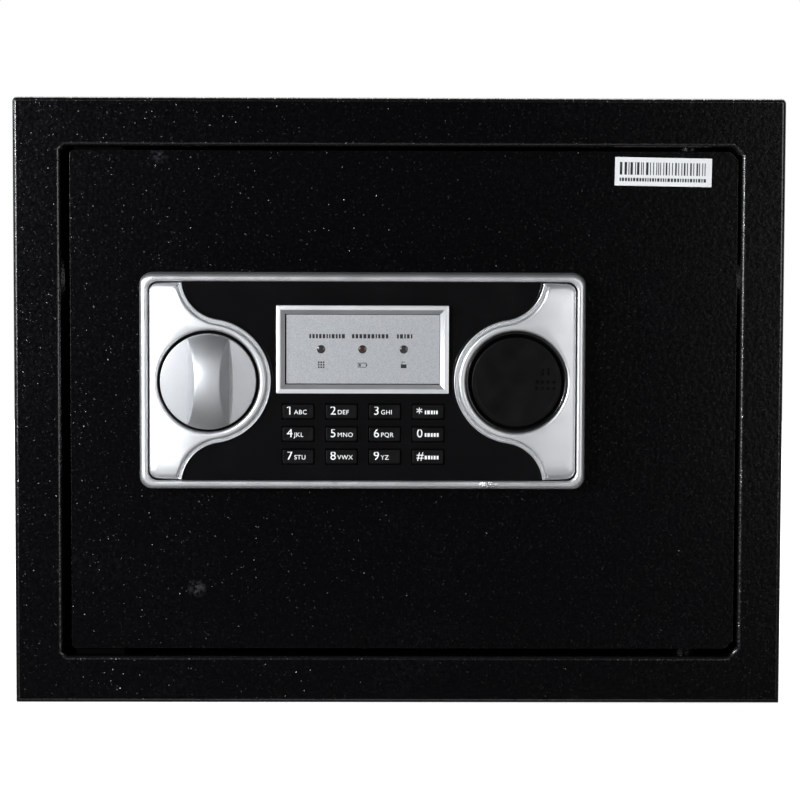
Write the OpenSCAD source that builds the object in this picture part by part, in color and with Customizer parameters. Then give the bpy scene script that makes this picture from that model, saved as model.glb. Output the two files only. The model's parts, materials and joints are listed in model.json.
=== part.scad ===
// Electronic cabinet safe: welded steel cabinet, inset door on concealed pins, motor-free bolt work
// with a knob, a solenoid latch, a mechanical override lock and a front keypad panel.
// Millimetres. X runs to the right, Y from the front to the back, Z up.
// The origin is the middle of the cabinet's underside.

/* [Cabinet] */
// Width of the cabinet
cabinet_w = 380; // [370:5:440]
// Height of the cabinet
cabinet_h = 300; // [290:5:360]
// Depth of the cabinet
cabinet_d = 300; // [260:5:400]
// Sheet thickness of the cabinet
sheet = 2; // [1.5:0.5:2.5]
// Outer radius of the folded top edges
fold_r = 2.5; // [2.5:0.5:5]
// Depth of the lip folded in around the door
lip_depth = 20; // [18:1:24]
// Thickness of the floor mat
mat_t = 3; // [2:0.5:5]

/* [Door] */
// Thickness of the door plate
door_t = 4; // [3:0.5:4]
// How far the door sits behind the frame's face
door_recess = 3; // [2:0.5:4]
// Distance from the door's hinge edge to the hinge axis
hinge_inset = 23.5; // [23:0.5:26]
// Radius of the hinge pins
hinge_pin_r = 3; // [2.5:0.1:3]

/* [Lock panel] */
// Width of the lock panel
panel_w = 219.2; // [218:0.2:224]
// Height of the lock panel
panel_h = 106.4; // [104:0.2:110]
// Width of the silver rim
rim_band = 4.2; // [3:0.1:4.5]
// Distance of the knob and of the override lock from the panel's middle
dial_offset = 75.65; // [75:0.05:77]
// Radius of the round wells in the two shields
well_r = 25; // [24.5:0.1:25.5]
// Radius of the knob's disc
knob_r = 23.5; // [22:0.1:24]

/* [Bolt work] */
// Radius of the live bolts
bolt_r = 8; // [6:0.5:9]
// Radius at which the crank pin runs
crank_r = 11.5; // [11:0.1:12]
// Thickness of the sliding carriage
carriage_t = 3; // [2:0.5:3]

/* [Keypad] */
// Distance between key columns
key_pitch_x = 21.3; // [20:0.1:22]
// Distance between key rows
key_pitch_z = 11.15; // [10.5:0.05:11.5]
// Width of a key
key_w = 15.4; // [14:0.1:16]
// Height of a key
key_h = 7; // [6:0.1:7.5]

/* [Hidden] */
$fn = 64;
run_fit = 0.05;                 // radial clearance of a turning or sliding fit
loose_fit = 0.2;                // clearance of a part that drops into place
half_w = cabinet_w / 2;
front_y = -cabinet_d / 2;
back_y = cabinet_d / 2;

// Door opening: the lock side, the hinge side, the bottom and the top
border_lock = 23.5;
border_hinge = 21.5;
border_bottom = 23.5;
border_top = 24;
open_x0 = -half_w + border_lock;
open_x1 = half_w - border_hinge;
open_z0 = border_bottom;
open_z1 = cabinet_h - border_top;
corner_lock = 2;                // corner cut on the lock side
corner_hinge = 4.5;             // corner cut on the hinge side
lip_y = front_y + lip_depth;

// Door plate, with its gaps to the opening
gap_lock = 4.2;
gap_hinge = 1.6;
gap_bottom = 3.5;
gap_top = 2;
door_x0 = open_x0 + gap_lock;
door_x1 = open_x1 - gap_hinge;
door_z0 = open_z0 + gap_bottom;
door_z1 = open_z1 - gap_top;
door_y0 = front_y + door_recess;
door_y1 = door_y0 + door_t;
hinge_x = door_x1 - hinge_inset;
hinge_y = door_y0 + 8;
hinge_reach = 12;               // how far a pin stands into its block

// Anchor holes
anchor_r = 5.5;
anchor_spacing = 240;
anchor_back_z = 200;

// Lock panel, stacked forward from the door's face
panel_x = -18;
panel_z = cabinet_h / 2 + 11;
rim_y = door_y0 - 12;           // front of the rim
fascia_y1 = door_y0 - 8.2;      // back of the black fascia
fascia_y0 = fascia_y1 - 2;      // its front
shield_y = fascia_y0 - 3.5;     // front of the silver shields
rim_r = 6;
inner_w = panel_w - 2 * rim_band;
inner_h = panel_h - 2 * rim_band;
inner_r = 3.5;
knob_x = panel_x - dial_offset;
lock_x = panel_x + dial_offset;
shield_r = 30.7;                // outer radius of a shield round its well
sweep_r = 20.7;                 // radius of the sweep from the shield out to the rim
sweep_x = 7.5;                  // middle of that sweep, from the well's middle

// Display window, level with the upper half of the panel
window_w = 84.7;
window_h = 43.2;
window_z = panel_z + 15.8;
window_band = 4.3;
led_pitch = 20.3;
led_r = 2;

// Keys
key_names = ["key_1", "key_2", "key_3", "key_star", "key_4", "key_5", "key_6", "key_0",
             "key_7", "key_8", "key_9", "key_hash"];
keys_x = panel_x + 0.35;
keys_z = panel_z - 26;
key_gap = 0.5;
key_front = fascia_y0 - 1;
key_back = fascia_y1 + 1.4;
board_t = 1.6;
board_y0 = door_y0 - 2 - board_t;   // front of the keypad board

// Bolt work, stacked back from the door plate
throw = 2 * crank_r * sin(45);
crank_y0 = door_y1 + 2;
crank_y1 = crank_y0 + 3;
carriage_y0 = crank_y1 + 2;
carriage_y1 = carriage_y0 + carriage_t;
crank_pin_r = 3;
bolt_y = door_y1 + 23;
bolt_spread = 80;
flange_x = -133;                // left face of the carriage's folded flange
bolt_tip_x = door_x0 + 1.3;
carriage_x1 = -52;
carriage_h = 110;
stud_x = [-122, -78];
stud_z = [panel_z - 46, panel_z + 46];
stud_r = 3;

// Mechanism cover
cover_x0 = -152;
cover_x1 = 112;
cover_z0 = panel_z - 105;
cover_z1 = panel_z + 85;
cover_y1 = door_y1 + 38;
cover_t = 1.2;
cover_tab = 10;
cover_screw_x = [-130, -20, 90];

// Solenoid and its plunger, in the carriage's plane
plunger_r = 3;
plunger_x = 30;
plunger_y = carriage_y0 + carriage_t / 2;
plunger_top = panel_z - 17;
plunger_travel = 6;
collar_top = panel_z - 24;
solenoid_z0 = panel_z - 65;
solenoid_z1 = panel_z - 30;
arm_z0 = panel_z - 8;
arm_z1 = panel_z + 4;
tab_half = 4;
tab_x = plunger_x + throw / 2;  // middle of the blocking tab with the bolts drawn back

// Override lock
plug_r = 6;
barrel_r = 10;
tail_r = 4;
cylinder_y0 = door_y0 - 6;
cylinder_y1 = door_y1 + 5;
cam_y0 = plunger_y + plunger_r + 0.2;
cam_y1 = cam_y0 + 2.3;
cam_tip_r = 3.5;
cam_dx = plunger_x - lock_x;
cam_dz = collar_top + cam_tip_r + 0.1 - panel_z;
cam_len = norm([cam_dx, cam_dz]);
cam_rest = atan2(cam_dz, cam_dx) - 90;

// Battery compartment and reset button, on the mechanism cover
cell_r = 7.25;
cell_l = 50;
cell_pitch = 15;
box_x0 = 46;
box_x1 = 106;
box_z0 = panel_z - 98;
box_z1 = panel_z - 36;
box_y0 = door_y1 + 19;
box_wall = 1.2;
reset_x = 95;
reset_z = panel_z + 45;
reset_r = 4;

// ---- shared shapes ----

// A box between two opposite corners.
module slab(lo, hi) {
    translate(lo) cube(hi - lo);
}

// Round bars along each axis.
module rod_x(x0, x1, y, z, r) {
    translate([x0, y, z]) rotate([0, 90, 0]) cylinder(h = x1 - x0, r = r);
}
module rod_y(x, z, y0, y1, r) {
    translate([x, y1, z]) rotate([90, 0, 0]) cylinder(h = y1 - y0, r = r);
}
module rod_z(x, y, z0, z1, r) {
    translate([x, y, z0]) cylinder(h = z1 - z0, r = r);
}

// Extrudes a flat shape drawn in X and Z from y0 back to y1.
module stand(y0, y1) {
    translate([0, y1, 0]) rotate([90, 0, 0]) linear_extrude(y1 - y0) children();
}

// A rectangle about the origin with round corners.
module round_rect(w, h, r) {
    square([w - 2 * r, h], center = true);
    square([w, h - 2 * r], center = true);
    for (x = [-1, 1], z = [-1, 1])
        translate([x * (w / 2 - r), z * (h / 2 - r)]) circle(r);
}

// A rectangle with its lock-side corners cut by one amount and its hinge-side corners by another.
module cut_rect(x0, x1, z0, z1, lock_cut, hinge_cut) {
    polygon([[x0 + lock_cut, z0], [x1 - hinge_cut, z0], [x1, z0 + hinge_cut], [x1, z1 - hinge_cut],
             [x1 - hinge_cut, z1], [x0 + lock_cut, z1], [x0, z1 - lock_cut], [x0, z0 + lock_cut]]);
}

// A slot along X with round ends.
module slot_x(x0, x1, z, y0, y1, r) {
    rod_y(x0, z, y0, y1, r);
    rod_y(x1, z, y0, y1, r);
    slab([x0, y0, z - r], [x1, y1, z + r]);
}

// A pan-head screw that comes in from the back, its head standing on y_seat.
module screw_from_back(x, z, y_seat, y_tip, head_r, shank_r) {
    head_h = 0.6 * head_r;
    difference() {
        rod_y(x, z, y_seat, y_seat + head_h, head_r);
        for (a = [0, 90])
            translate([x, 0, z]) rotate([0, a, 0])
                slab([-0.7 * head_r, y_seat + 0.5 * head_h, -0.4], [0.7 * head_r, y_seat + head_h + 1, 0.4]);
    }
    rod_y(x, z, y_tip, y_seat, shank_r);
}

function key_x(i) = keys_x + (i % 4 - 1.5) * key_pitch_x;
function key_z(i) = keys_z - (floor(i / 4) - 1) * key_pitch_z;
panel_screw_at = [for (x = [-90, 90], z = [-38, 38]) [panel_x + x, panel_z + z]];

// ---- cabinet ----

// One sheet folded over the left side, the top and the right side.
module cabinet_wrap() {
    color("#141415") stand(front_y + sheet, back_y)
        difference() {
            union() {
                translate([-half_w, 0]) square([cabinet_w, cabinet_h - fold_r]);
                translate([-half_w + fold_r, cabinet_h - 2 * fold_r])
                    square([cabinet_w - 2 * fold_r, 2 * fold_r]);
                for (x = [-1, 1])
                    translate([x * (half_w - fold_r), cabinet_h - fold_r]) circle(fold_r);
            }
            translate([-half_w + sheet, -1])
                square([cabinet_w - 2 * sheet, cabinet_h + 1 - sheet]);
        }
}

module base_plate() {
    color("#141415") difference() {
        slab([-half_w + sheet, front_y + sheet, 0], [half_w - sheet, back_y, sheet]);
        for (x = [-1, 1])
            rod_z(x * anchor_spacing / 2, 0, -1, sheet + 1, anchor_r);
    }
}

module back_panel() {
    color("#141415") difference() {
        slab([-half_w + sheet, back_y - sheet, sheet], [half_w - sheet, back_y, cabinet_h - sheet]);
        for (x = [-1, 1])
            rod_y(x * anchor_spacing / 2, anchor_back_z, back_y - sheet - 1, back_y + 1, anchor_r);
    }
}

// The face round the door, with its lip folded back and two welded tabs that stop the door.
module front_frame() {
    lip_cut = 0.586 * sheet;    // keeps the lip one sheet thick across the cut corners
    stop_y = door_y1 + 0.1;
    stop_x = open_x0 + 6;
    color("#141415") difference() {
        union() {
            stand(front_y, front_y + sheet) difference() {
                union() {
                    translate([-half_w, 0]) square([cabinet_w, cabinet_h - fold_r]);
                    translate([-half_w + fold_r, cabinet_h - 2 * fold_r])
                        square([cabinet_w - 2 * fold_r, 2 * fold_r]);
                    for (x = [-1, 1])
                        translate([x * (half_w - fold_r), cabinet_h - fold_r]) circle(fold_r);
                }
                cut_rect(open_x0, open_x1, open_z0, open_z1, corner_lock, corner_hinge);
            }
            stand(front_y + sheet, lip_y) difference() {
                cut_rect(open_x0 - sheet, open_x1 + sheet, open_z0 - sheet, open_z1 + sheet,
                         corner_lock + lip_cut, corner_hinge + lip_cut);
                cut_rect(open_x0, open_x1, open_z0, open_z1, corner_lock, corner_hinge);
            }
            slab([stop_x, stop_y, open_z0 - 1], [stop_x + 24, stop_y + 3, door_z0 + 4]);
            slab([stop_x, stop_y, door_z1 - 4], [stop_x + 24, stop_y + 3, open_z1 + 1]);
        }
        rod_z(hinge_x, hinge_y, open_z0 - sheet - 1, open_z0 + 1, hinge_pin_r);
        rod_z(hinge_x, hinge_y, open_z1 - 1, open_z1 + sheet + 1, hinge_pin_r);
    }
}

module floor_mat() {
    color("#2b2b2e") difference() {
        slab([-half_w + sheet + 2, front_y + lip_depth + 3, sheet], [half_w - sheet - 2, back_y - sheet - 2,
             sheet + mat_t]);
        for (x = [-1, 1])
            rod_z(x * anchor_spacing / 2, 0, sheet - 1, sheet + mat_t + 1, 14);
    }
}

// Headed pins riveted through the lips, one above and one below the door.
module hinge_pins() {
    head_r = hinge_pin_r + 2;
    head_t = 3;
    color("#b9bcc0") {
        rod_z(hinge_x, hinge_y, open_z0 - sheet, door_z0 + hinge_reach, hinge_pin_r);
        rod_z(hinge_x, hinge_y, open_z0 - sheet - head_t, open_z0 - sheet, head_r);
        rod_z(hinge_x, hinge_y, door_z1 - hinge_reach, open_z1 + sheet, hinge_pin_r);
        rod_z(hinge_x, hinge_y, open_z1 + sheet, open_z1 + sheet + head_t, head_r);
    }
}

// Spacers that carry the door on the lower lip and centre it under the upper one.
module hinge_washers() {
    washer_r = 5.8;
    color("#c9ccd0") difference() {
        union() {
            rod_z(hinge_x, hinge_y, open_z0, door_z0, washer_r);
            rod_z(hinge_x, hinge_y, door_z1 + 0.2, open_z1, washer_r);
        }
        rod_z(hinge_x, hinge_y, open_z0 - 1, open_z1 + 1, hinge_pin_r + run_fit);
    }
}

// ---- door ----

module door_plate() {
    color("#141415") difference() {
        stand(door_y0, door_y1)
            cut_rect(door_x0, door_x1, door_z0, door_z1, 1.5, 4);
        rod_y(knob_x, panel_z, door_y0 - 1, door_y1 + 1, 8 + run_fit);
        rod_y(lock_x, panel_z, door_y0 - 1, door_y1 + 1, barrel_r + run_fit);
        rod_y(panel_x - 16, panel_z + 35, door_y0 - 1, door_y1 + 1, 6);
        for (p = panel_screw_at)
            rod_y(p[0], p[1], door_y0 - 1, door_y1 + 1, 2);
    }
}

// Bored blocks welded behind the plate, which turn on the pins.
module hinge_blocks() {
    block_h = 20;
    color("#1d1d1f") difference() {
        for (z = [door_z0, door_z1 - block_h])
            slab([hinge_x - 9.5, door_y1, z], [hinge_x + 9.5, hinge_y + 8, z + block_h]);
        rod_z(hinge_x, hinge_y, door_z0 - 1, door_z0 + hinge_reach + 1, hinge_pin_r + run_fit);
        rod_z(hinge_x, hinge_y, door_z1 - hinge_reach - 1, door_z1 + 1, hinge_pin_r + run_fit);
    }
}

// Folded cover over the bolt work, with a screwed tab above and below.
module mechanism_cover() {
    color("#19191b") difference() {
        union() {
            slab([cover_x0, door_y1, cover_z0], [cover_x1, cover_y1, cover_z1]);
            slab([cover_x0, door_y1, cover_z0 - cover_tab], [cover_x1, door_y1 + cover_t, cover_z1 + cover_tab]);
        }
        slab([cover_x0 + cover_t, door_y1 - 1, cover_z0 + cover_t],
             [cover_x1 - cover_t, cover_y1 - cover_t, cover_z1 - cover_t]);
        for (z = [-1, 1])
            rod_x(cover_x0 - 1, cover_x0 + cover_t + 1, bolt_y, panel_z + z * bolt_spread / 2,
                  bolt_r + 0.3);
        for (x = cover_screw_x, z = [cover_z0 - cover_tab / 2, cover_z1 + cover_tab / 2])
            rod_y(x, z, door_y1 - 1, door_y1 + cover_t + 1, 2.2);
        slab([box_x0 + box_wall, cover_y1 - cover_t - 1, box_z0 + box_wall],
             [box_x1 - box_wall, cover_y1 + 1, box_z1 - box_wall]);
        rod_y(reset_x, reset_z, cover_y1 - cover_t - 1, cover_y1 + 1, reset_r + run_fit);
    }
}

module cover_screws() {
    color("#9a9da1")
        for (x = cover_screw_x, z = [cover_z0 - cover_tab / 2, cover_z1 + cover_tab / 2])
            screw_from_back(x, z, door_y1 + cover_t, door_y1, 4, 2);
}

module panel_screws() {
    color("#9a9da1")
        for (p = panel_screw_at)
            screw_from_back(p[0], p[1], door_y1, door_y0 - 5, 4, 1.5);
}

// ---- lock panel ----

// Black tray behind the fascia, with a post for each screw.
module panel_base() {
    wall = 2;
    color("#0d0d0e") difference() {
        union() {
            difference() {
                translate([panel_x, 0, panel_z]) stand(fascia_y1, door_y0)
                    round_rect(inner_w - 0.4, inner_h - 0.4, inner_r);
                translate([panel_x, 0, panel_z]) stand(fascia_y1 - 1, door_y0 - wall)
                    round_rect(inner_w - 0.4 - 2 * wall, inner_h - 0.4 - 2 * wall, 2);
            }
            for (p = panel_screw_at)
                rod_y(p[0], p[1], fascia_y1, door_y0 - wall, 4);
        }
        for (p = panel_screw_at)
            rod_y(p[0], p[1], door_y0 - 6, door_y0 + 1, 1.5);
        rod_y(knob_x, panel_z, door_y0 - wall - 1, door_y0 + 1, 8.5);
        rod_y(lock_x, panel_z, door_y0 - wall - 1, door_y0 + 1, barrel_r + loose_fit);
        rod_y(panel_x - 16, panel_z + 35, door_y0 - wall - 1, door_y0 + 1, 6);
    }
}

module panel_rim() {
    color("#c8cacd") translate([panel_x, 0, panel_z]) {
        stand(rim_y + 1.5, door_y0) difference() {
            round_rect(panel_w, panel_h, rim_r);
            round_rect(inner_w, inner_h, inner_r);
        }
        stand(rim_y, rim_y + 1.5) difference() {
            round_rect(panel_w - 2.4, panel_h - 2.4, rim_r - 1.2);
            round_rect(inner_w, inner_h, inner_r);
        }
    }
}

module fascia() {
    color("#0a0a0b") difference() {
        translate([panel_x, 0, panel_z]) stand(fascia_y0, fascia_y1)
            round_rect(inner_w - 0.2, inner_h - 0.2, inner_r - 0.1);
        rod_y(knob_x, panel_z, fascia_y0 - 1, fascia_y1 + 1, 9);
        rod_y(lock_x, panel_z, fascia_y0 - 1, fascia_y1 + 1, well_r - 2.6);
        for (i = [-1, 0, 1])
            rod_y(panel_x + i * led_pitch, window_z, fascia_y0 - 1, fascia_y1 + 1, led_r + 0.3);
        for (i = [0 : 11])
            slab([key_x(i) - key_w / 2 - key_gap, fascia_y0 - 1, key_z(i) - key_h / 2 - key_gap],
                 [key_x(i) + key_w / 2 + key_gap, fascia_y1 + 1, key_z(i) + key_h / 2 + key_gap]);
    }
}

// Flat outline of a shield about its well, with the panel's middle on the +X side.
module shield_outline() {
    touch = shield_r / (shield_r + sweep_r);
    sweep_z = sqrt(pow(shield_r + sweep_r, 2) - sweep_x * sweep_x);
    outer_x = inner_w / 2 - dial_offset - 0.1;
    half_h = inner_h / 2 - 0.1;
    difference() {
        intersection() {
            translate([dial_offset, 0]) round_rect(inner_w - 0.2, inner_h - 0.2, inner_r - 0.1);
            union() {
                circle(shield_r);
                translate([-outer_x, -half_h]) square([outer_x + sweep_x * touch, 2 * half_h]);
            }
        }
        circle(well_r);
        for (z = [-1, 1])
            translate([sweep_x, z * sweep_z]) circle(sweep_r);
    }
}

module left_shield() {
    color("#d5d7da") translate([knob_x, 0, panel_z]) stand(shield_y, fascia_y0) shield_outline();
}

module right_shield() {
    color("#d5d7da") translate([lock_x, 0, panel_z]) stand(shield_y, fascia_y0)
        mirror([1, 0]) shield_outline();
}

module window_bezel() {
    color("#cfd1d3") translate([panel_x, 0, window_z]) stand(fascia_y0 - 3, fascia_y0) difference() {
        square([window_w, window_h], center = true);
        square([window_w - 2 * window_band, window_h - 2 * window_band], center = true);
    }
}

module display_plate() {
    color("#b4b6ba") difference() {
        translate([panel_x, 0, window_z]) stand(fascia_y0 - 0.8, fascia_y0)
            square([window_w - 2 * window_band - 0.2, window_h - 2 * window_band - 0.2], center = true);
        for (i = [-1, 0, 1])
            rod_y(panel_x + i * led_pitch, window_z, fascia_y0 - 2, fascia_y0 + 1, led_r + run_fit);
    }
}

module indicator_leds() {
    color("#3a3b3e")
        for (i = [-1, 0, 1])
            rod_y(panel_x + i * led_pitch, window_z, fascia_y0 - 0.5, board_y0, led_r);
}

// Board with the keys' contacts, the indicator lamps' feet and a round sounder.
module circuit_board() {
    color("#1f5a34") translate([panel_x, 0, panel_z]) {
        slab([-46, board_y0, -46], [46, board_y0 + board_t, 46]);
        rod_y(38, 41, board_y0 - 3.5, board_y0, 4.5);
    }
}

// Rubber sheet with a dome under each key.
module keypad_mat() {
    color("#3b3d40") {
        slab([keys_x - 44, board_y0 - 0.8, keys_z - 17], [keys_x + 44, board_y0, keys_z + 17]);
        for (i = [0 : 11])
            rod_y(key_x(i), key_z(i), key_back + 0.9, board_y0 - 0.8, 3);
    }
}

// Black ring in the right-hand well, which the keyhole cover plugs into.
module cover_seat() {
    color("#0b0b0c") difference() {
        rod_y(lock_x, panel_z, fascia_y0 - 2, fascia_y0, well_r - 0.15);
        rod_y(lock_x, panel_z, fascia_y0 - 3, fascia_y0 + 1, well_r - 2.6);
    }
}

// One key: a cap in its window and a flange behind the fascia.
module key_cap(i) {
    color("#17181a") {
        slab([key_x(i) - key_w / 2, key_front, key_z(i) - key_h / 2],
             [key_x(i) + key_w / 2, key_back, key_z(i) + key_h / 2]);
        slab([key_x(i) - key_w / 2 - 1, key_back - 1, key_z(i) - key_h / 2 - 1],
             [key_x(i) + key_w / 2 + 1, key_back, key_z(i) + key_h / 2 + 1]);
    }
}

module blank_label() {
    label_x = 130;
    label_z = cabinet_h - 36;
    color("#e9e9ea") translate([label_x, door_y0, label_z]) rotate([0, 0.9, 0])
        slab([-23.9, -0.15, -7], [23.9, 0, 7]);
}

// ---- knob and bolt work ----

// Disc with an upright grip; flanks that lean in under an arched crown make its crest waisted.
module knob() {
    disc_y1 = fascia_y0 - 0.6;
    disc_y0 = disc_y1 - 4.5;
    grip_y = disc_y1 - 15;
    arch_r = 34;
    foot = 10.3;                    // half the grip's width where it meets the disc
    crest = foot - 0.43 * (disc_y0 - grip_y);
    color("#bfc1c4") {
        rod_y(knob_x, panel_z, disc_y0, disc_y1, knob_r);
        rod_y(knob_x, panel_z, disc_y1, fascia_y1 + 1.5, 8);
        intersection() {
            rod_y(knob_x, panel_z, grip_y, disc_y0, knob_r - 0.3);
            rod_x(knob_x - foot - 1, knob_x + foot + 1, grip_y + arch_r, panel_z, arch_r);
            translate([knob_x, disc_y0, panel_z - knob_r]) linear_extrude(2 * knob_r)
                polygon([[-foot, 0], [-crest, grip_y - disc_y0], [crest, grip_y - disc_y0], [foot, 0]]);
        }
    }
}

module knob_shaft() {
    color("#a6a9ad") rod_y(knob_x, panel_z, fascia_y1 + 1.5, crank_y0, 5);
}

// Flanged bush pressed through the door plate.
module knob_bush() {
    color("#b08d4a") difference() {
        union() {
            rod_y(knob_x, panel_z, door_y0 - 2.5, door_y1, 8);
            rod_y(knob_x, panel_z, door_y1, door_y1 + 1.5, 11);
        }
        rod_y(knob_x, panel_z, door_y0 - 3.5, door_y1 + 2.5, 5 + run_fit);
    }
}

// Disc on the shaft's end; its pin stands 45 degrees to the hinge side of the top at rest.
module crank_disc() {
    color("#a6a9ad") {
        rod_y(knob_x, panel_z, crank_y0, crank_y1, 17);
        rod_y(knob_x + crank_r * sin(45), panel_z + crank_r * cos(45), crank_y1, carriage_y1 + 1.5, crank_pin_r);
    }
}

// Headed studs that the carriage slides on.
module carriage_studs() {
    color("#a6a9ad")
        for (x = stud_x, z = stud_z) {
            rod_y(x, z, door_y1, carriage_y0 - 0.1, 5);
            rod_y(x, z, carriage_y0 - 0.1, carriage_y1 + 0.1, stud_r);
            rod_y(x, z, carriage_y1 + 0.1, carriage_y1 + 2.1, 5.5);
        }
}

// Plate with the crank's slot, four guide slots, the bolts' flange and an arm with the blocking tab.
module bolt_carriage() {
    crank_slot_x = knob_x + crank_r * sin(45);
    slot_half = crank_pin_r + 0.5;
    color("#8e9196") difference() {
        union() {
            slab([flange_x, carriage_y0, panel_z - carriage_h / 2], [carriage_x1, carriage_y1,
                 panel_z + carriage_h / 2]);
            slab([flange_x, carriage_y0, panel_z - carriage_h / 2], [flange_x + 3, bolt_y + 10,
                 panel_z + carriage_h / 2]);
            slab([carriage_x1 - 1, carriage_y0, arm_z0], [tab_x + tab_half, carriage_y1, arm_z1]);
            slab([tab_x - tab_half, carriage_y0, arm_z0 - 8], [tab_x + tab_half, carriage_y1, arm_z0 + 1]);
        }
        for (x = stud_x, z = stud_z)
            slot_x(x, x + throw, z, carriage_y0 - 1, carriage_y1 + 1, stud_r + 0.2);
        for (z = [crank_r * cos(45), crank_r])
            rod_y(crank_slot_x, panel_z + z, carriage_y0 - 1, carriage_y1 + 1, slot_half);
        slab([crank_slot_x - slot_half, carriage_y0 - 1, panel_z + crank_r * cos(45)],
             [crank_slot_x + slot_half, carriage_y1 + 1, panel_z + crank_r]);
        for (z = [-1, 1])
            rod_x(flange_x - 1, flange_x + 4, bolt_y, panel_z + z * bolt_spread / 2, 4);
    }
}

// Two round bolts, each riveted through the carriage's flange.
module live_bolts() {
    color("#c3c6ca")
        for (z = [-1, 1]) {
            bolt_z = panel_z + z * bolt_spread / 2;
            rod_x(bolt_tip_x + 2, flange_x, bolt_y, bolt_z, bolt_r);
            translate([bolt_tip_x, bolt_y, bolt_z]) rotate([0, 90, 0])
                cylinder(h = 2, r1 = bolt_r - 2, r2 = bolt_r);
            rod_x(flange_x, flange_x + 3, bolt_y, bolt_z, 4);
            rod_x(flange_x + 3, flange_x + 5, bolt_y, bolt_z, 5.5);
        }
}

// ---- solenoid ----

module solenoid_frame() {
    color("#8e9196") difference() {
        union() {
            slab([plunger_x - 10, door_y1, solenoid_z0], [plunger_x + 10, door_y1 + 1.5, solenoid_z1]);
            for (z = [solenoid_z0, solenoid_z1 - 1.5])
                slab([plunger_x - 10, door_y1, z], [plunger_x + 10, plunger_y + 8, z + 1.5]);
        }
        rod_z(plunger_x, plunger_y, solenoid_z0 - 1, solenoid_z1 + 1, plunger_r + run_fit);
    }
}

module solenoid_coil() {
    color("#7d3b1c") difference() {
        rod_z(plunger_x, plunger_y, solenoid_z0 + 1.5, solenoid_z1 - 1.5, 6.8);
        rod_z(plunger_x, plunger_y, solenoid_z0, solenoid_z1, plunger_r + run_fit);
    }
}

// Drawn back at rest; it stands up beside the carriage's tab when it is let go.
module solenoid_plunger() {
    color("#b9bcc0") {
        rod_z(plunger_x, plunger_y, solenoid_z0 - 10, plunger_top, plunger_r);
        rod_z(plunger_x, plunger_y, collar_top - 2, collar_top, 6);
    }
}

// Two closed turns of the return spring, squeezed under the plunger's collar.
module plunger_spring() {
    wire_r = 0.7;
    color("#c9ccd0")
        for (i = [0, 1])
            translate([plunger_x, plunger_y, solenoid_z1 + wire_r + i * 2.4])
                rotate_extrude() translate([4.4, 0]) circle(wire_r);
}

// ---- override lock ----

module key_cylinder() {
    color("#b4a24a") difference() {
        rod_y(lock_x, panel_z, cylinder_y0, cylinder_y1, barrel_r);
        rod_y(lock_x, panel_z, cylinder_y0 - 1, cylinder_y1 + 1, plug_r + run_fit);
    }
}

module cylinder_nut() {
    color("#a6a9ad") difference() {
        translate([lock_x, door_y1 + 3.5, panel_z]) rotate([90, 0, 0])
            cylinder(h = 3.5, r = 15, $fn = 6);
        rod_y(lock_x, panel_z, door_y1 - 1, door_y1 + 5, barrel_r + run_fit);
    }
}

// Plug with its keyway and the tail that carries the cam.
module key_plug() {
    color("#c9b75a") difference() {
        union() {
            rod_y(lock_x, panel_z, cylinder_y0 - 0.3, cylinder_y1, plug_r);
            rod_y(lock_x, panel_z, cylinder_y1, cam_y1 + 1, tail_r);
        }
        slab([lock_x - 0.9, cylinder_y0 - 1, panel_z - 4], [lock_x + 0.9, cylinder_y0 + 10, panel_z + 4]);
    }
}

// Arm that presses the plunger's collar down when the key is turned.
module override_cam() {
    color("#a6a9ad") difference() {
        union() {
            rod_y(lock_x, panel_z, cam_y0, cam_y1, 8);
            translate([lock_x, 0, panel_z]) rotate([0, -cam_rest, 0]) {
                rod_y(cam_len, 0, cam_y0, cam_y1, cam_tip_r);
                slab([0, cam_y0, -cam_tip_r], [cam_len, cam_y1, cam_tip_r]);
            }
        }
        rod_y(lock_x, panel_z, cam_y0 - 1, cam_y1 + 1, tail_r + run_fit);
    }
}

// Round cap with a skirt that plugs into the seat, and grip dots on its face.
module keyhole_cover() {
    face_r = well_r - 2.9;
    dot_pitch = 3;
    color("#101011") {
        difference() {
            rod_y(lock_x, panel_z, fascia_y0 - 3, fascia_y1 + 1, face_r);
            rod_y(lock_x, panel_z, fascia_y0, fascia_y1 + 2, face_r - 2);
        }
        for (row = [1 : 4], i = [0 : row - 1])
            rod_y(lock_x + 13 + (i - (row - 1) / 2) * dot_pitch, panel_z + 8.5 - row * dot_pitch,
                  fascia_y0 - 3.3, fascia_y0 - 3, 0.5);
    }
}

// ---- battery compartment and boards ----

module battery_box() {
    color("#101011") difference() {
        slab([box_x0, box_y0, box_z0], [box_x1, cover_y1 - cover_t, box_z1]);
        slab([box_x0 + box_wall, box_y0 + box_wall, box_z0 + box_wall],
             [box_x1 - box_wall, cover_y1, box_z1 - box_wall]);
    }
}

function cell_z(i) = (box_z0 + box_z1) / 2 + (i - 1.5) * cell_pitch - 0.15;
cell_y = box_y0 + box_wall + cell_r;

module batteries() {
    color("#3f6fa8")
        for (i = [0 : 3])
            translate([(box_x0 + box_x1) / 2, 0, 0]) mirror([i % 2, 0, 0]) {
                rod_x(-cell_l / 2, cell_l / 2 - 1, cell_y, cell_z(i), cell_r - 0.15);
                rod_x(cell_l / 2 - 1, cell_l / 2, cell_y, cell_z(i), 2.7);
            }
}

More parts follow.
